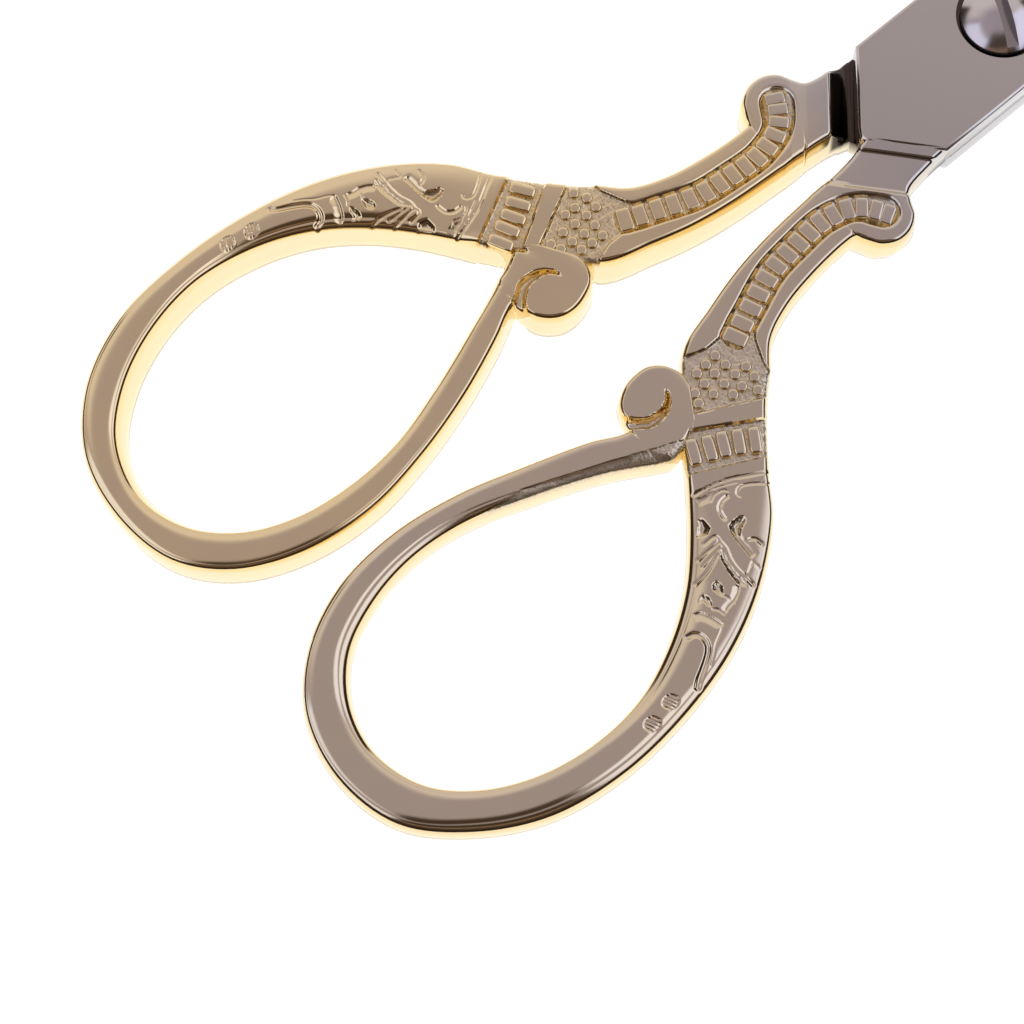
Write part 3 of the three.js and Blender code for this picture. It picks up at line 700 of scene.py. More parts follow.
def handle_skins(filing):
    """Skin of the handle to the arm, and of the arm's end with the scroll."""
    hole_edge, outer_edge = filed_edges(filing)
    faces = []
    for draft, profile in ((filing.own_draft, OWN_NECK), (filing.far_draft, FAR_NECK)):
        places, heights = face_grid(hole_edge, outer_edge, draft, filing.widest_bevel)
        faces += [places, neck_face(places, carve(places, heights, filing.slope), profile)]
    handle = mesh_object("handle", *skin(*(values[:seam + 1] for values in faces)))
    for values in faces:
        values[seam - 1] += SCROLL_START * (values[seam - 1].mean(axis=0) - values[seam - 1])
    return handle, mesh_object("scroll", *skin(*(values[seam - 1:] for values in faces)))


# %% [markdown]
# ## Joint plate and blade
#
# The plate and the blade are one flat piece. Its outline is raised in rings: straight sides, then a narrow rolled
# edge that catches a bright line. Two cuts take metal off the blade: a taper towards the point, and the ground
# slope along the cutting edge. Boolean modifiers with the Manifold solver make them exact.

# %% Outline of plate and blade
BLADE_LENGTH = 49
SPINE_ROOT = 9.5
EDGE_ROOT = 8.5
SPINE_OUT = 4.05
EDGE_OUT = 2.2
TIP_HALF_WIDTH = 0.45
TIP_THICKNESS = 0.85
EDGE_THICKNESS = 0.2
GRIND_WIDTH = 2.6
POINT_ROUND = 0.5


def bend(start, pull, end, count=14):
    """Points of a quadratic curve, without its first one."""
    t = np.linspace(0, 1, count + 1)[1:, None]
    start, pull, end = (np.array(point, float) for point in (start, pull, end))
    return (start * (1 - t) ** 2 + 2 * pull * t * (1 - t) + end * t**2).tolist()


def plan(point):
    """X and Y of a point given as distances back and out."""
    return (-point[0], -point[1])


def plate_outline():
    """Round the plate and blade, from the end of the plate's slanted end back to it."""
    tip, edge = BLADE_LENGTH - TIP_HALF_WIDTH, (EDGE_ROOT, -EDGE_OUT)
    waist = ((SPINE_ROOT + BLADE_LENGTH) / 2, SPINE_OUT - TIP_HALF_WIDTH)
    spine, front = (SPINE_ROOT, SPINE_OUT), (PLATE_FRONT, PLATE_HALF_WIDTH)
    shoulder = ((SPINE_ROOT + PLATE_FRONT) / 2, PLATE_HALF_WIDTH)
    slant = np.array([PLATE_POINT - PLATE_CORNER, PLATE_HALF_WIDTH]) * POINT_ROUND / PLATE_HALF_WIDTH
    points = [(-PLATE_POINT + slant[0], slant[1])]
    points += bend(points[0], (-PLATE_POINT, 0), plan(behind_plate(SHOULDER, POINT_ROUND)), 6)
    points += [plan(behind_plate(SHOULDER, PLATE_HALF_WIDTH)), (PLATE_FRONT, -PLATE_HALF_WIDTH)]
    points += bend(points[-1], (EDGE_ROOT, -PLATE_HALF_WIDTH), edge)
    points += [(tip, -TIP_HALF_WIDTH)]
    points += bend(points[-1], (BLADE_LENGTH, -TIP_HALF_WIDTH), (BLADE_LENGTH, 0), 5)
    points += bend(points[-1], (BLADE_LENGTH, TIP_HALF_WIDTH), (tip, TIP_HALF_WIDTH), 5)
    points += bend(points[-1], waist, spine, 24)
    points += bend(points[-1], shoulder, front, 8)
    return np.array(points + [(-PLATE_CORNER, PLATE_HALF_WIDTH)], float)


print(len(plate_outline()), "points round plate and blade")


# %% Solid of plate and blade
def drawn_in(outline, inset):
    """The outline moved inwards by a width, its corners kept sharp."""
    ahead = np.roll(outline, -1, axis=0) - outline
    ahead /= np.linalg.norm(ahead, axis=1)[:, None]
    normal = np.stack([-ahead[:, 1], ahead[:, 0]], axis=1)
    before = np.roll(normal, 1, axis=0)
    mitre = (normal + before) / (1 + (normal * before).sum(1))[:, None]
    return outline + mitre * inset


PLATE_ROLL = [(0, 0.24), (0.02, 0.14), (0.06, 0.09), (0.22, 0)]  # inset and drop of each ring


def closed(rings):
    """Closed mesh points and faces from rings of equal count, the lowest first."""
    count, top = len(rings[0]), len(rings[0]) * (len(rings) - 1)
    faces = [list(range(count))[::-1], list(range(top, top + count))]
    for low in range(0, top, count):
        high = low + count
        faces += [[low + i, low + (i + 1) % count, high + (i + 1) % count, high + i] for i in range(count)]
    return np.vstack(rings), faces


def stacked(outline, levels):
    """Closed mesh from an outline at several levels, each given as an inset and a height."""
    return closed([np.c_[drawn_in(outline, inset), np.full(len(outline), height)] for inset, height in levels])


CHAMFER = 0.05  # along the sliding face
levels = [(CHAMFER, RIDE), (0.0, RIDE + CHAMFER), *((inset, PLATE_TOP - drop) for inset, drop in PLATE_ROLL)]
plate = mesh_object("front_plate", *stacked(plate_outline(), levels))
print("plate and blade, not yet ground:", len(plate.data.polygons), "faces")


# %% Tools that cut
def prism(name, section, low, high, turn):
    """Upright prism from a section given in its own plane, turned into place, used as a cutting tool."""
    tool = mesh_object(name, *stacked(np.array(section, float), [(0, low), (0, high)]))
    tool.data.transform(turn)
    return tool


def apply_modifiers(piece):
    """Gives a piece the mesh that its modifiers make."""
    graph = bpy.context.evaluated_depsgraph_get()
    result = bpy.data.meshes.new_from_object(piece.evaluated_get(graph))
    piece.modifiers.clear()
    piece.data = result


def boolean(piece, tool, operation):
    """Piece with the tool joined or cut away, and the tool removed."""
    change = piece.modifiers.new(operation, "BOOLEAN")
    change.operation, change.solver, change.object = operation, "MANIFOLD", tool
    apply_modifiers(piece)
    bpy.data.objects.remove(tool)
    return piece


# %% Taper and grind of the blade
PAST = 1.0  # how far a tool reaches past the metal
taper = prism(
    "taper",
    [(SPINE_ROOT, PLATE_TOP), (BLADE_LENGTH + PAST, RIDE + TIP_THICKNESS), (BLADE_LENGTH + PAST, PLATE_TOP + PAST),
     (SPINE_ROOT, PLATE_TOP + PAST)],
    -PLATE_HALF_WIDTH - PAST, PLATE_HALF_WIDTH + PAST, Matrix.Rotation(math.pi / 2, 4, "X"),
)
edge_run = BLADE_LENGTH - EDGE_ROOT
edge_lean = math.atan2(EDGE_OUT - TIP_HALF_WIDTH, edge_run - TIP_HALF_WIDTH)
edge_low = RIDE + EDGE_THICKNESS
grind = prism(
    "grind",
    [(-PAST, edge_low), (0, edge_low), (GRIND_WIDTH, PLATE_TOP), (GRIND_WIDTH, PLATE_TOP + PAST),
     (-PAST, PLATE_TOP + PAST)],
    0, edge_run + PAST,
    Matrix.Translation((EDGE_ROOT * MM, -EDGE_OUT * MM, 0)) @ Matrix.Rotation(edge_lean, 4, "Z")
    @ Matrix.Rotation(math.pi / 2, 4, "Z") @ Matrix.Rotation(math.pi / 2, 4, "X"),
)
boolean(plate, taper, "DIFFERENCE")
boolean(plate, grind, "DIFFERENCE")
print("plate and blade:", len(plate.data.polygons), "faces")


# %% [markdown]
# ## One half, then the other
#
# The handle's skin, the scroll and the plate are joined into one solid. The front half has the screw's hole with a
# round seat for the head, and the rear half has the hole alone. The share of unpolished ground is kept on the
# mesh as an attribute, so that the material can read where the metal stays rough. So is where shade is painted
# dark: in the hollow corner of the neck's step and in the screw's seat.

# %% Drills
SCREW_RADIUS = 1.5
SCREW_CLEARANCE = 0.1
HEAD_RADIUS = 2.75
SEAT_DEPTH = 0.35
SEAT_RADIUS = HEAD_RADIUS + 0.3
ROUND_STEPS = 96


def on_lathe(name, profile):
    """Round solid about the pivot axis, from radius and height pairs, the lowest first."""
    angles = np.linspace(0, 2 * math.pi, ROUND_STEPS, endpoint=False)
    circle = np.stack([np.cos(angles), np.sin(angles)], axis=1)
    rings = [np.c_[circle * radius, np.full(ROUND_STEPS, height)] for radius, height in profile]
    return mesh_object(name, *closed(rings))


# %% Marks on the surface
PIT_GROUND = 0.6  # share of rough ground in the leaf's pits


def keep_values(mesh, label, values):
    """Keeps a number on each vertex."""
    mesh.attributes.new(label, "FLOAT", "POINT").data.foreach_set("value", np.array(values, np.float32))


def mark_surface(mesh, slope):
    """Marks where the metal is rough ground, and where shade is painted in the neck's step and the screw's seat."""
    points = np.empty(len(mesh.vertices) * 3)
    mesh.vertices.foreach_get("co", points)
    points = points.reshape(-1, 3) / MM
    flat, level = -points[:, :2], np.abs(points[:, 2])
    fields = [pit(flat, outline, PIT_GROUND) for _, outline in LEAF_PITS]
    cut = 1 - ease(level, HANDLE_TOP - 0.14, HANDLE_TOP - 0.08)
    grounds = [channel(flat), *(panel * cut for panel in panels(flat)), *fields, slope * arm_facet(flat)]
    keep_values(mesh, "cast_ground", np.max(grounds, axis=0) * ease(level, CARVED_FROM, 0.75 * HANDLE_TOP))
    behind = behind_end(flat)
    # painted shade in the hollow corner of the neck's step
    corner = ease(behind, -0.9, -0.6) * (1 - ease(behind, STOP_GAP + 0.8 * STEP_RUN, STOP_GAP + STEP_RUN))
    corner *= ease(-points[:, 2], -0.6, -0.3)  # on the far side of the half alone
    from_pivot, sunk = np.linalg.norm(flat, axis=1), PLATE_TOP - points[:, 2]
    # painted shade on the walls of the screw's seat, under the head
    seat = (1 - ease(from_pivot, SEAT_RADIUS, SEAT_RADIUS + 0.03)) * ease(sunk, 0.12, 0.2)
    # kept as the mesh attribute of painted shade
    keep_values(mesh, "tarnish", np.maximum(corner, seat))


# %% Clean and finish a mesh
CRISP = math.radians(55)
SLIVER = 0.001
CLEANING_PASSES = 3
LEVEL = 0.99999  # faces this flat are shaded flat, so that no light creeps in from their edges


def without_slivers(mesh):
    """Merges points that the cuts left almost in one place, and takes out faces without width."""
    shape = bmesh.new()
    shape.from_mesh(mesh)
    for _ in range(CLEANING_PASSES):
        bmesh.ops.remove_doubles(shape, verts=shape.verts, dist=SLIVER * MM)
        bmesh.ops.dissolve_degenerate(shape, edges=shape.edges, dist=SLIVER * MM)
        bmesh.ops.triangulate(shape, faces=shape.faces)
    shape.to_mesh(mesh)
    shape.free()


def finished(piece, name, place, flat_above=math.inf):
    """Piece in its place, smooth apart from crisp edges, level faces and all above a height."""
    piece.name = piece.data.name = name
    without_slivers(piece.data)
    piece.data.shade_smooth()
    piece.data.set_sharp_from_angle(angle=CRISP)
    for face in piece.data.polygons:
        face.use_smooth = abs(face.normal.z) < LEVEL and face.center.z < flat_above * MM
    piece.data.transform(place)
    return piece


# %% Join and drill the halves
upright = Matrix.Translation((0, 0, MIDDLE * MM))
turned_over = upright @ Matrix.Rotation(math.pi, 4, "X")


def half_of(filing, name, place, seat):
    """One scissor half, drilled, in its place."""
    half, scroll = handle_skins(filing)
    boolean(half, scroll, "UNION")
    boolean(half, linked("blank", plate.data.copy()), "UNION")
    drills = [(SCREW_RADIUS + SCREW_CLEARANCE, -PAST)]
    if seat:
        drills.append((SEAT_RADIUS, PLATE_TOP - SEAT_DEPTH))
    for radius, low in drills:
        boolean(half, on_lathe("drill", [(radius, low), (radius, PLATE_TOP + PAST)]), "DIFFERENCE")
    mark_surface(half.data, filing.slope)
    finished(half, name, place, PLATE_TOP - 2 * SLIVER)
    print(name, sum(len(face.vertices) - 2 for face in half.data.polygons), "triangles")
    return half


front_half = half_of(front_filing, "front_scissor_half", upright, seat=True)
rear_half = half_of(rear_filing, "rear_scissor_half", turned_over, seat=False)
bpy.data.objects.remove(plate)


# %% [markdown]
# ## Pivot screw
#
# A slotted screw with a low domed head. Its profile is turned about the pivot axis, as on a lathe, and the slot is
# cut across the dome.

# %% Screw profile and slot
HEAD_RIM = 0.25
HEAD_DOME = 0.98
SEAT_GAP = 0.1
SLOT_WIDTH = 0.8
SLOT_DEPTH = 0.75
SLOT_ANGLE = math.radians(63)
FOOT_CHAMFER = 0.15
RIM_CHAMFER = (0.1, 0.08)  # width and height of the chamfer under the rim
DOME_STEPS = 22
DOME_END = 0.05  # from the dome's line to the rim, and to the axis


def screw_profile():
    """Radius and height from the flush end up over the dome."""
    seat_level = MIDDLE + PLATE_TOP - SEAT_DEPTH + SEAT_GAP
    rim = seat_level + HEAD_RIM
    ball = (HEAD_RADIUS**2 + HEAD_DOME**2) / (2 * HEAD_DOME)
    under_rim = [(HEAD_RADIUS - RIM_CHAMFER[0], seat_level), (HEAD_RADIUS, seat_level + RIM_CHAMFER[1])]
    foot = [(SCREW_RADIUS - FOOT_CHAMFER, 0.0), (SCREW_RADIUS, FOOT_CHAMFER), (SCREW_RADIUS, seat_level)]
    radii = np.linspace(HEAD_RADIUS - DOME_END, DOME_END, DOME_STEPS)
    dome = [(radius, rim + HEAD_DOME - ball + math.sqrt(ball**2 - radius**2)) for radius in radii]
    return foot + under_rim + [(HEAD_RADIUS, rim)] + dome


screw = on_lathe("pivot_screw_turned", screw_profile())
crest = screw_profile()[-1][1]
half_slot, reach = SLOT_WIDTH / 2, HEAD_RADIUS + PAST
slot = prism(
    "slot", [(-reach, -half_slot), (reach, -half_slot), (reach, half_slot), (-reach, half_slot)],
    crest - SLOT_DEPTH, crest + PAST, Matrix.Rotation(SLOT_ANGLE, 4, "Z"),
)
finished(boolean(screw, slot, "DIFFERENCE"), "slotted_screw", Matrix.Identity(4))
print("screw:", len(screw.data.polygons), "faces, top at", round(crest, 2), "mm")


# %% [markdown]
# ## Node helpers
#
# Materials and Geometry Nodes are both graphs of nodes. One method adds any node, with its settings first and then
# the values or links of its sockets. A small class wraps an output socket and overloads the arithmetic
# operators, so that shader maths reads as ordinary Python.

# %% Sockets that do arithmetic
def arithmetic(operation, swapped=False):
    """A method that adds a Math node."""
    def method(self, other=0.0):
        first, second = (other, self) if swapped else (self, other)
        return self.nodes.add("ShaderNodeMath", {"operation": operation}, {0: first, 1: second})
    return method


class Socket:
    """An output socket; arithmetic on it adds Math nodes."""

    def __init__(self, nodes, socket):
        self.nodes, self.socket = nodes, socket

    __add__, __radd__ = arithmetic("ADD"), arithmetic("ADD", swapped=True)
    __sub__, __rsub__ = arithmetic("SUBTRACT"), arithmetic("SUBTRACT", swapped=True)
    __mul__, __rmul__ = arithmetic("MULTIPLY"), arithmetic("MULTIPLY", swapped=True)
    __abs__ = arithmetic("ABSOLUTE")


# %% Nodes of one tree
class Nodes:
    """Adds nodes to one tree."""

    def __init__(self, tree):
        self.tree = tree

    def add(self, kind, settings=None, inputs=None, output=0):
        node = self.tree.nodes.new(kind)
        for name, value in (settings or {}).items():
            setattr(node, name, value)
        for key, value in (inputs or {}).items():
            self.feed(node.inputs[key], value)
        return Socket(self, node.outputs[output]) if node.outputs else node

    def feed(self, socket, value):
        """Links a socket, or several into one, or sets a plain value."""
        for item in value if isinstance(value, list) else [value]:
            if isinstance(item, Socket):
                self.tree.links.new(item.socket, socket)
            else:
                socket.default_value = item

    def ramp(self, value, low, high):
        """0 at low, 1 at high, and an S-shaped ramp between them."""
        settings = {"interpolation_type": "SMOOTHSTEP"}
        return self.add("ShaderNodeMapRange", settings, {0: value, 1: low, 2: high, 3: 0.0, 4: 1.0})

    def split(self, vector, axis):
        """One axis of a vector: 0 for X, 1 for Y and 2 for Z."""
        return self.add("ShaderNodeSeparateXYZ", inputs={0: vector}, output=axis)

    def dot(self, vector, way):
        """How far a vector goes along a direction."""
        return self.add("ShaderNodeVectorMath", {"operation": "DOT_PRODUCT"}, {0: vector, 1: way}, output="Value")

    def blend(self, share, first, second):
        """A colour between two."""
        return self.add("ShaderNodeMix", {"data_type": "RGBA"}, {0: share, 6: first, 7: second}, output=2)

    def noise(self, place, scale, detail):
        """Cloudy values from 0 to 1."""
        return self.add("ShaderNodeTexNoise", inputs={"Vector": place, "Scale": scale, "Detail": detail})


# %% [markdown]
# ## Gold that thins out to steel
#
# The handles are plated with pale gold over steel. At the neck the plating has thinned out, and the plate and blade
# are bare. Polished flats are rubbed thinner than the sides, and the gold is richest by the upper edges. The fade
# reads Object coordinates, so it stays on the metal in every view. Sunk ground was never polished, so it is rougher.

# %% Shades of the metals
STEEL = (0.63, 0.62, 0.62, 1)
GOLD = (0.93, 0.78, 0.48, 1)
RICH_GOLD = (0.85, 0.58, 0.12, 1)
# dark colour of the painted shade in hollows, and of the grime specks on sunk ground
SHADE_AND_GRIME_COLOUR = (0.06, 0.045, 0.035, 1)
SMEAR_SCALE = 260.0
GRIT_SCALE = 9000.0
SIDE_LEAD = 0.004  # metres that the gold reaches further forward on the sides
RICH_HEIGHTS = (0.0024, 0.0033)  # metres up the sides over which the gold gets rich
SCREW_SHADES = ((0.57, 0.55, 0.61, 1), (0.69, 0.68, 0.73, 1))
SCREW_SMEAR_SCALE = 900.0


def metal(name):
    """A metal, with its nodes, its shader and the place on the metal."""
    material = bpy.data.materials.new(name)
    material.use_nodes = True
    nodes = Nodes(material.node_tree)
    shader = material.node_tree.nodes["Principled BSDF"]
    shader.inputs["Metallic"].default_value = 1.0
    place = nodes.add("ShaderNodeTexCoord", output="Object")
    return material, nodes, shader, place


# %% Gold on steel
def plating(name, fade, flats):
    """Steel at the joint that turns to gold between two distances back from the pivot, with a share on the flats."""
    material, nodes, shader, place = metal(name)
    sideways = 1 - abs(nodes.split(nodes.add("ShaderNodeTexCoord", output="Normal"), 2))
    ground, tarnish = (
        nodes.add("ShaderNodeAttribute", {"attribute_name": label}, output="Fac")
        for label in ("cast_ground", "tarnish")
    )
    smear, grit = nodes.noise(place, SMEAR_SCALE, 4.0), nodes.noise(place, GRIT_SCALE, 2.0)
    plated = nodes.ramp(nodes.split(place, 0) - SIDE_LEAD * sideways, -fade[0], -fade[1])
    kept = flats + (1 - flats) * sideways * (1 - 0.6 * ground) + 0.3 * (smear - 0.5)
    thick = 0.7 * plated * (1 - ground) * sideways * nodes.ramp(nodes.split(place, 2), *RICH_HEIGHTS)
    bright = nodes.blend(thick, nodes.blend(plated * kept, STEEL, GOLD), RICH_GOLD)
    # painted shade in the neck step's corner and the screw's seat, and dark grime specks on the sunk ground
    painted_shade_and_grime = 0.95 * tarnish + 0.45 * ground * nodes.ramp(grit, 0.5, 0.7)
    nodes.feed(shader.inputs["Base Color"], nodes.blend(painted_shade_and_grime, bright, SHADE_AND_GRIME_COLOUR))
    nodes.feed(shader.inputs["Roughness"], 0.06 + 0.1 * smear + 0.22 * ground)
    bump = {"Strength": 0.25, "Distance": 0.00004, "Height": grit * (0.05 + ground)}
    nodes.feed(shader.inputs["Normal"], nodes.add("ShaderNodeBump", inputs=bump))
    return material


# %% Screw steel
def screw_finish(name):
    """Bright bluish steel with painted shade in the slot."""
    material, nodes, shader, place = metal(name)
    smear = nodes.noise(place, SCREW_SMEAR_SCALE, 3.0)
    across = nodes.dot(place, (-math.sin(SLOT_ANGLE), math.cos(SLOT_ANGLE), 0.0))
    # painted shade inside the slot, half darkened towards the dark colour
    slot_shade = 0.5 - 0.5 * nodes.ramp(abs(across), half_slot * MM, (half_slot + 0.03) * MM)
    nodes.feed(shader.inputs["Base Color"], nodes.blend(slot_shade, nodes.blend(smear, *SCREW_SHADES), SHADE_AND_GRIME_COLOUR))
    nodes.feed(shader.inputs["Roughness"], 0.12 + 0.12 * smear)
    return material


front_gold = plating("front_gold_plating", fade=(0.011, 0.021), flats=0.41)
rear_gold = plating("rear_gold_plating", fade=(0.012, 0.020), flats=0.8)
screw_steel = screw_finish("screw_steel_finish")
for piece, material in ((front_half, front_gold), (rear_half, rear_gold), (screw, screw_steel)):
    piece.data.materials.clear()
    piece.data.materials.append(material)
    print(piece.name, "has", material.name)


# %% [markdown]
# ## Pads, beads and rods
#
# Fifteen pads fill the ladder, sixteen beads its panel, and five rods theirs, on both faces of both halves. They
# repeat, so Geometry Nodes place them: one tree sets rounded studs along a line, turned with it, and another sets
# flat-topped beads on points. Each tree also adds the same studs on the other face, mirrored and turned right side
# out. The result is made a plain mesh for each half.

# %% Start and end of a tree
def new_tree(name, inputs):
    """An empty tree with its named inputs, and a function that gives one of them."""
    tree = bpy.data.node_groups.new(name, "GeometryNodeTree")
    tree.interface.new_socket("Geometry", in_out="OUTPUT", socket_type="NodeSocketGeometry")
    for label, kind in inputs.items():
        tree.interface.new_socket(label, in_out="INPUT", socket_type="NodeSocket" + kind)
    nodes = Nodes(tree)
    return nodes, lambda label: nodes.add("NodeGroupInput", output=label)


def close_tree(nodes, given, points, stud, length, width, rotation):
    """Studs on points and on the other face, real, smooth and with their finish."""
    swell = nodes.add("GeometryNodeInputNamedAttribute", {"data_type": "FLOAT"}, {"Name": "swell"})
    sizes = {0: length * swell, 1: width * swell, 2: given("Height")}
    scale = nodes.add("ShaderNodeCombineXYZ", inputs=sizes)
    inputs = {"Points": points, "Instance": stud, "Rotation": rotation, "Scale": scale}
    placed = nodes.add("GeometryNodeInstanceOnPoints", inputs=inputs)
    real = nodes.add("GeometryNodeRealizeInstances", inputs={0: placed})
    below = nodes.add("GeometryNodeTransform", inputs={"Geometry": real, "Scale": (1, 1, -1)})
    turned = nodes.add("GeometryNodeFlipFaces", inputs={0: below})
    both = nodes.add("GeometryNodeJoinGeometry", inputs={0: [real, turned]})
    smooth = nodes.add("GeometryNodeSetShadeSmooth", inputs={0: both})
    dressed = nodes.add("GeometryNodeSetMaterial", inputs={"Geometry": smooth, "Material": given("Finish")})
    nodes.add("NodeGroupOutput", inputs={0: dressed})
    return nodes.tree


# %% Studs on a line and beads on points
SIZES = {"Width": "Float", "Height": "Float", "Finish": "Material"}


def line_tree():
    """Rounded studs along a line, turned with it."""
    nodes, given = new_tree("studs_on_a_line", {"Line": "Geometry", "Length": "Float", "Cuts": "Int", **SIZES})
    cuts = {"Vertices X": given("Cuts"), "Vertices Y": given("Cuts") + 1, "Vertices Z": given("Cuts")}
    block = nodes.add("GeometryNodeMeshCube", inputs=cuts)
    stud = nodes.add("GeometryNodeSubdivisionSurface", inputs={"Mesh": block, "Level": 2})
    curve = nodes.add("GeometryNodeMeshToCurve", inputs={0: given("Line")})
    tangent = nodes.add("GeometryNodeInputTangent")
    rotation = nodes.add("FunctionNodeAlignRotationToVector", {"axis": "X", "pivot_axis": "Z"}, {"Vector": tangent})
    return close_tree(nodes, given, curve, stud, given("Length"), given("Width"), rotation)


def point_tree():
    """Flat-topped beads on points."""
    nodes, given = new_tree("beads_on_points", {"Points": "Geometry", **SIZES})
    shape = {"Vertices": 16, "Side Segments": 2, "Fill Segments": 2, "Radius": 0.5, "Depth": 1.0}
    puck = nodes.add("GeometryNodeMeshCylinder", inputs=shape)
    bead = nodes.add("GeometryNodeSubdivisionSurface", inputs={"Mesh": puck, "Level": 1})
    return close_tree(nodes, given, given("Points"), bead, given("Width"), given("Width"), (0, 0, 0))


on_line, on_points = line_tree(), point_tree()
print(len(on_line.nodes), "nodes set studs on a line,", len(on_points.nodes), "set beads")

# %% Places and heights of the studs
BEADS = [
    (30.26, 5.47), (31.12, 5.53), (30.17, 6.35), (29.27, 7.29), (31.95, 5.61), (31.09, 6.35), (30.14, 7.23),
    (29.31, 8.15), (32.04, 6.44), (31.09, 7.26), (30.35, 8.12), (32.93, 6.53), (32.07, 7.33), (31.15, 8.17),
    (29.75, 8.97), (33.2, 7.2),
]
RODS = [(35.59, 9.41), (34.66, 9.87), (33.82, 10.26), (32.98, 10.76), (32.13, 11.32)]
STUD_TOP = HANDLE_TOP - 0.03
BEAD_TOP = STUD_TOP - 0.05
STUD_SINK = 0.25  # how far a stud's foot goes into the ground
PAD_SWELL = [1.1] + [1.0] * 11 + [0.95] * 3
print(len(PADS), "pads,", len(BEADS), "beads and", len(RODS), "rods on each face")


# %% Studs as plain meshes
def grown(name, tree, points, top, ground_depth, place, sizes, swell=None):
    """Plain mesh of the studs that a tree sets on points, in its place on one half."""
    foot = HANDLE_TOP - ground_depth - STUD_SINK
    spots = [(-along, -out, (top + foot) / 2) for along, out in points]
    piece = mesh_object(name, spots, [], [(i, i + 1) for i in range(len(spots) - 1)])
    keep_values(piece.data, "swell", swell or [1.0] * len(spots))
    modifier = piece.modifiers.new(tree.name, "NODES")
    modifier.node_group = tree
    sizes = {**sizes, "Height": (top - foot) * MM}
    for socket in tree.interface.items_tree:
        if socket.in_out == "INPUT" and socket.name in sizes:
            modifier[socket.identifier] = sizes[socket.name]
    apply_modifiers(piece)
    piece.data.name = name
    piece.data.transform(place)
    return piece


studs = []
for body, place, finish in (("front", upright, front_gold), ("rear", turned_over, rear_gold)):
    pad = {"Length": 0.94 * MM, "Width": 1.5 * MM, "Cuts": 4, "Finish": finish}
    bead = {"Width": 0.8 * MM, "Finish": finish}
    rod = {"Length": 0.86 * MM, "Width": 1.85 * MM, "Cuts": 3, "Finish": finish}
    made = [
        grown(f"{body}_ladder_pads", on_line, PADS, STUD_TOP, CHANNEL_DEPTH, place, pad, PAD_SWELL),
        grown(f"{body}_panel_beads", on_points, BEADS, BEAD_TOP, BEAD_GROUND_DEPTH, place, bead),
        grown(f"{body}_panel_rods", on_line, RODS, STUD_TOP, ROD_GROUND_DEPTH, place, rod),
    ]
    studs += [(piece, body) for piece in made]
print({piece.name: len(piece.data.polygons) for piece, _ in studs})


# %% [markdown]
# ## Floor, light and camera
#
# The scissors lie on white paper that is lit like a light table, so it shows no shadow. Round them stands a grey tent
# with a soft white box on each side, a dark gap where the camera stands and a dark strip above the floor. Polished
# metal shows nothing but its surroundings, so the tent's grey makes the tone of every flat, the boxes make the
# bright lines on the bevels, and the dark strip makes the thin dark lines between bevels and sides.

# %% Floor
FLOOR_HALF = 3000


def floor():
    """White sheet that glows like a light table."""
    corners = [(x * FLOOR_HALF, y * FLOOR_HALF, 0) for x, y in ((-1, -1), (1, -1), (1, 1), (-1, 1))]
    sheet = mesh_object("studio_floor", corners, [(0, 1, 2, 3)])
    paper = bpy.data.materials.new("white_paper")
    paper.use_nodes = True
    for name, value in (
        ("Base Color", (0.5, 0.5, 0.5, 1)), ("Roughness", 0.9), ("Specular IOR Level", 0.0),
        ("Emission Color", (1, 1, 1, 1)), ("Emission Strength", 0.92),
    ):
        paper.node_tree.nodes["Principled BSDF"].inputs[name].default_value = value
    sheet.data.materials.append(paper)


# %% Light tent
AHEAD = (-0.603, -0.798)  # level direction from the scissors towards the camera
ASIDE = (0.798, -0.603)  # level direction to the camera's right
TENT_GREY = (0.44, 0.368, 0.371, 1)
SCREENS = [  # colour, then in degrees: turn from the camera, half width, least and most lean from upright, softness
    ((0.78, 0.68, 0.62, 1), 180, 62, 34, 100, 12),
    ((0.07, 0.045, 0.03, 1), 0, 40, 16, 62, 8),
    ((0.34, 0.22, 0.15, 1), 0, 32, 43, 49, 3),
    ((1.05, 1.02, 1.14, 1), 84, 44, 26, 58, 5),
    ((0.95, 0.92, 1.02, 1), -72, 34, 32, 58, 5),
    ((0.035, 0.022, 0.015, 1), 0, 140, 59, 91, 3),
]


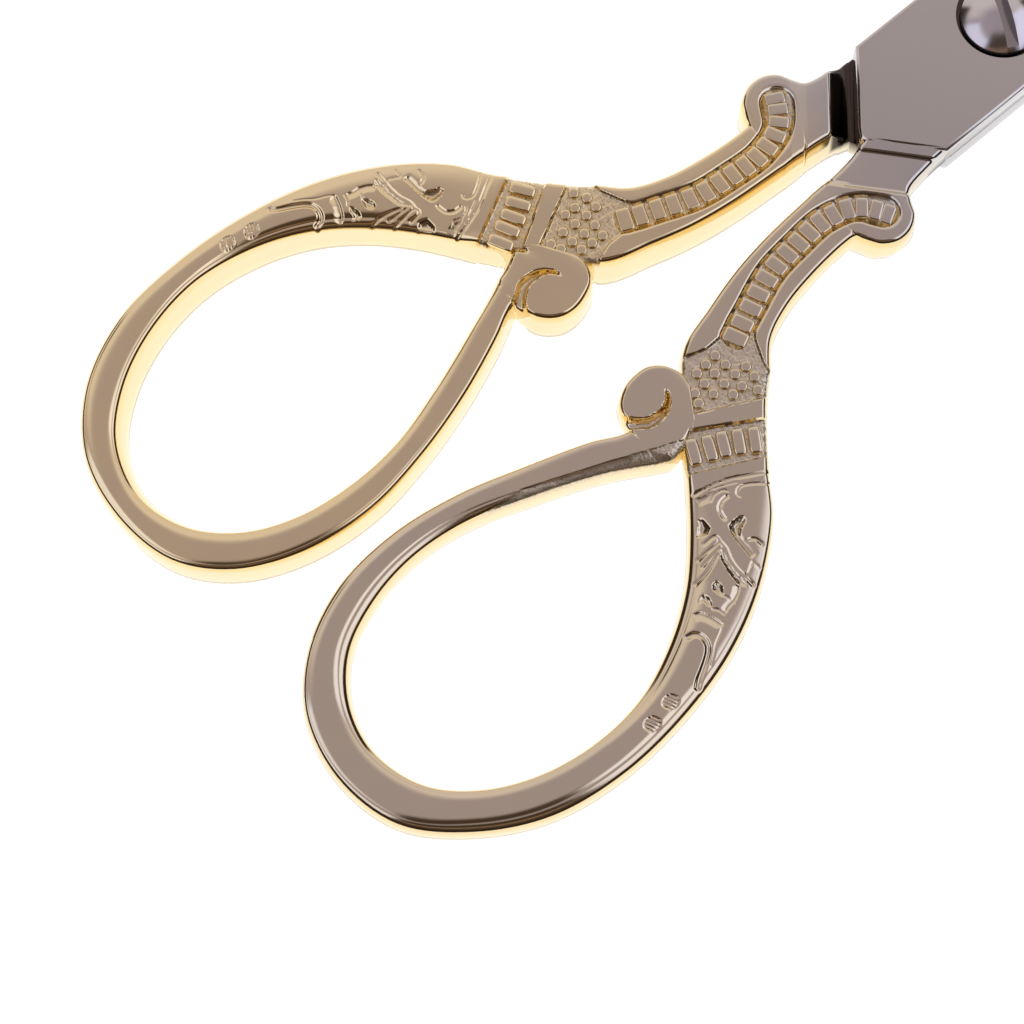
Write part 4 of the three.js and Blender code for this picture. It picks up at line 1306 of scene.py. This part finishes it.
def tent():
    """World whose colour goes by the direction that is looked in."""
    world = bpy.data.worlds.new("light_tent")
    bpy.context.scene.world = world
    world.use_nodes = True
    nodes = Nodes(world.node_tree)
    direction = nodes.add("ShaderNodeTexCoord", output="Generated")
    ahead, aside = (nodes.dot(direction, (*axis, 0.0)) for axis in (AHEAD, ASIDE))
    turn = nodes.add("ShaderNodeMath", {"operation": "ARCTAN2"}, {0: aside, 1: ahead})
    lean = nodes.add("ShaderNodeMath", {"operation": "ARCCOSINE"}, {0: nodes.split(direction, 2)})
    colour = TENT_GREY
    for shade, *angles in SCREENS:
        middle, half, high, low, soft = (math.radians(angle) for angle in angles)
        off = nodes.add("ShaderNodeMath", {"operation": "WRAP"}, {0: turn - middle, 1: math.pi, 2: -math.pi})
        share = 1 - nodes.ramp(abs(off), half - soft, half + soft)
        share = share * nodes.ramp(lean, high - soft, high + soft) * (1 - nodes.ramp(lean, low - soft, low + soft))
        colour = nodes.blend(share, colour, shade)
    nodes.feed(world.node_tree.nodes["Background"].inputs["Color"], colour)


floor()
tent()
bpy.context.scene.view_settings.view_transform = "Standard"
print("tent with", len(SCREENS), "screens")

# %% Camera
AIM = Vector((-46.87, -5.02, 3.55)) * MM
DISTANCE = 152.85 * MM
AZIMUTH = math.radians(-37.12)
ELEVATION = math.radians(73.0)
ROLL = math.radians(-3.33)
LENS = 85.98
towards = Vector((
    math.sin(AZIMUTH) * math.cos(ELEVATION), -math.cos(AZIMUTH) * math.cos(ELEVATION), math.sin(ELEVATION)
))
camera = linked("camera", bpy.data.cameras.new("camera"))
camera.data.lens = LENS
camera.data.sensor_width = 36.0
camera.data.clip_start = 0.005
turn = towards.to_track_quat("Z", "Y").to_matrix().to_4x4() @ Matrix.Rotation(ROLL, 4, "Z")
camera.matrix_world = Matrix.Translation(AIM + towards * DISTANCE) @ turn
bpy.context.scene.camera = camera
print("camera at", [round(value / MM, 1) for value in camera.matrix_world.translation], "mm")

# %% [markdown]
# ## Bodies
#
# Every piece rides on a body of the CAD model, and the three main pieces stand for its solids.

# %% Ride and replace
for piece, body, node, slot_name in (
    (front_half, "front", "front_half", "gold_plated_steel"),
    (rear_half, "rear", "rear_half", "gold_plated_steel"),
    (screw, "rear", "pivot_screw", "screw_steel"),
):
    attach(piece, body)
    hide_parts(node)
for piece, body in studs:
    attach(piece, body)
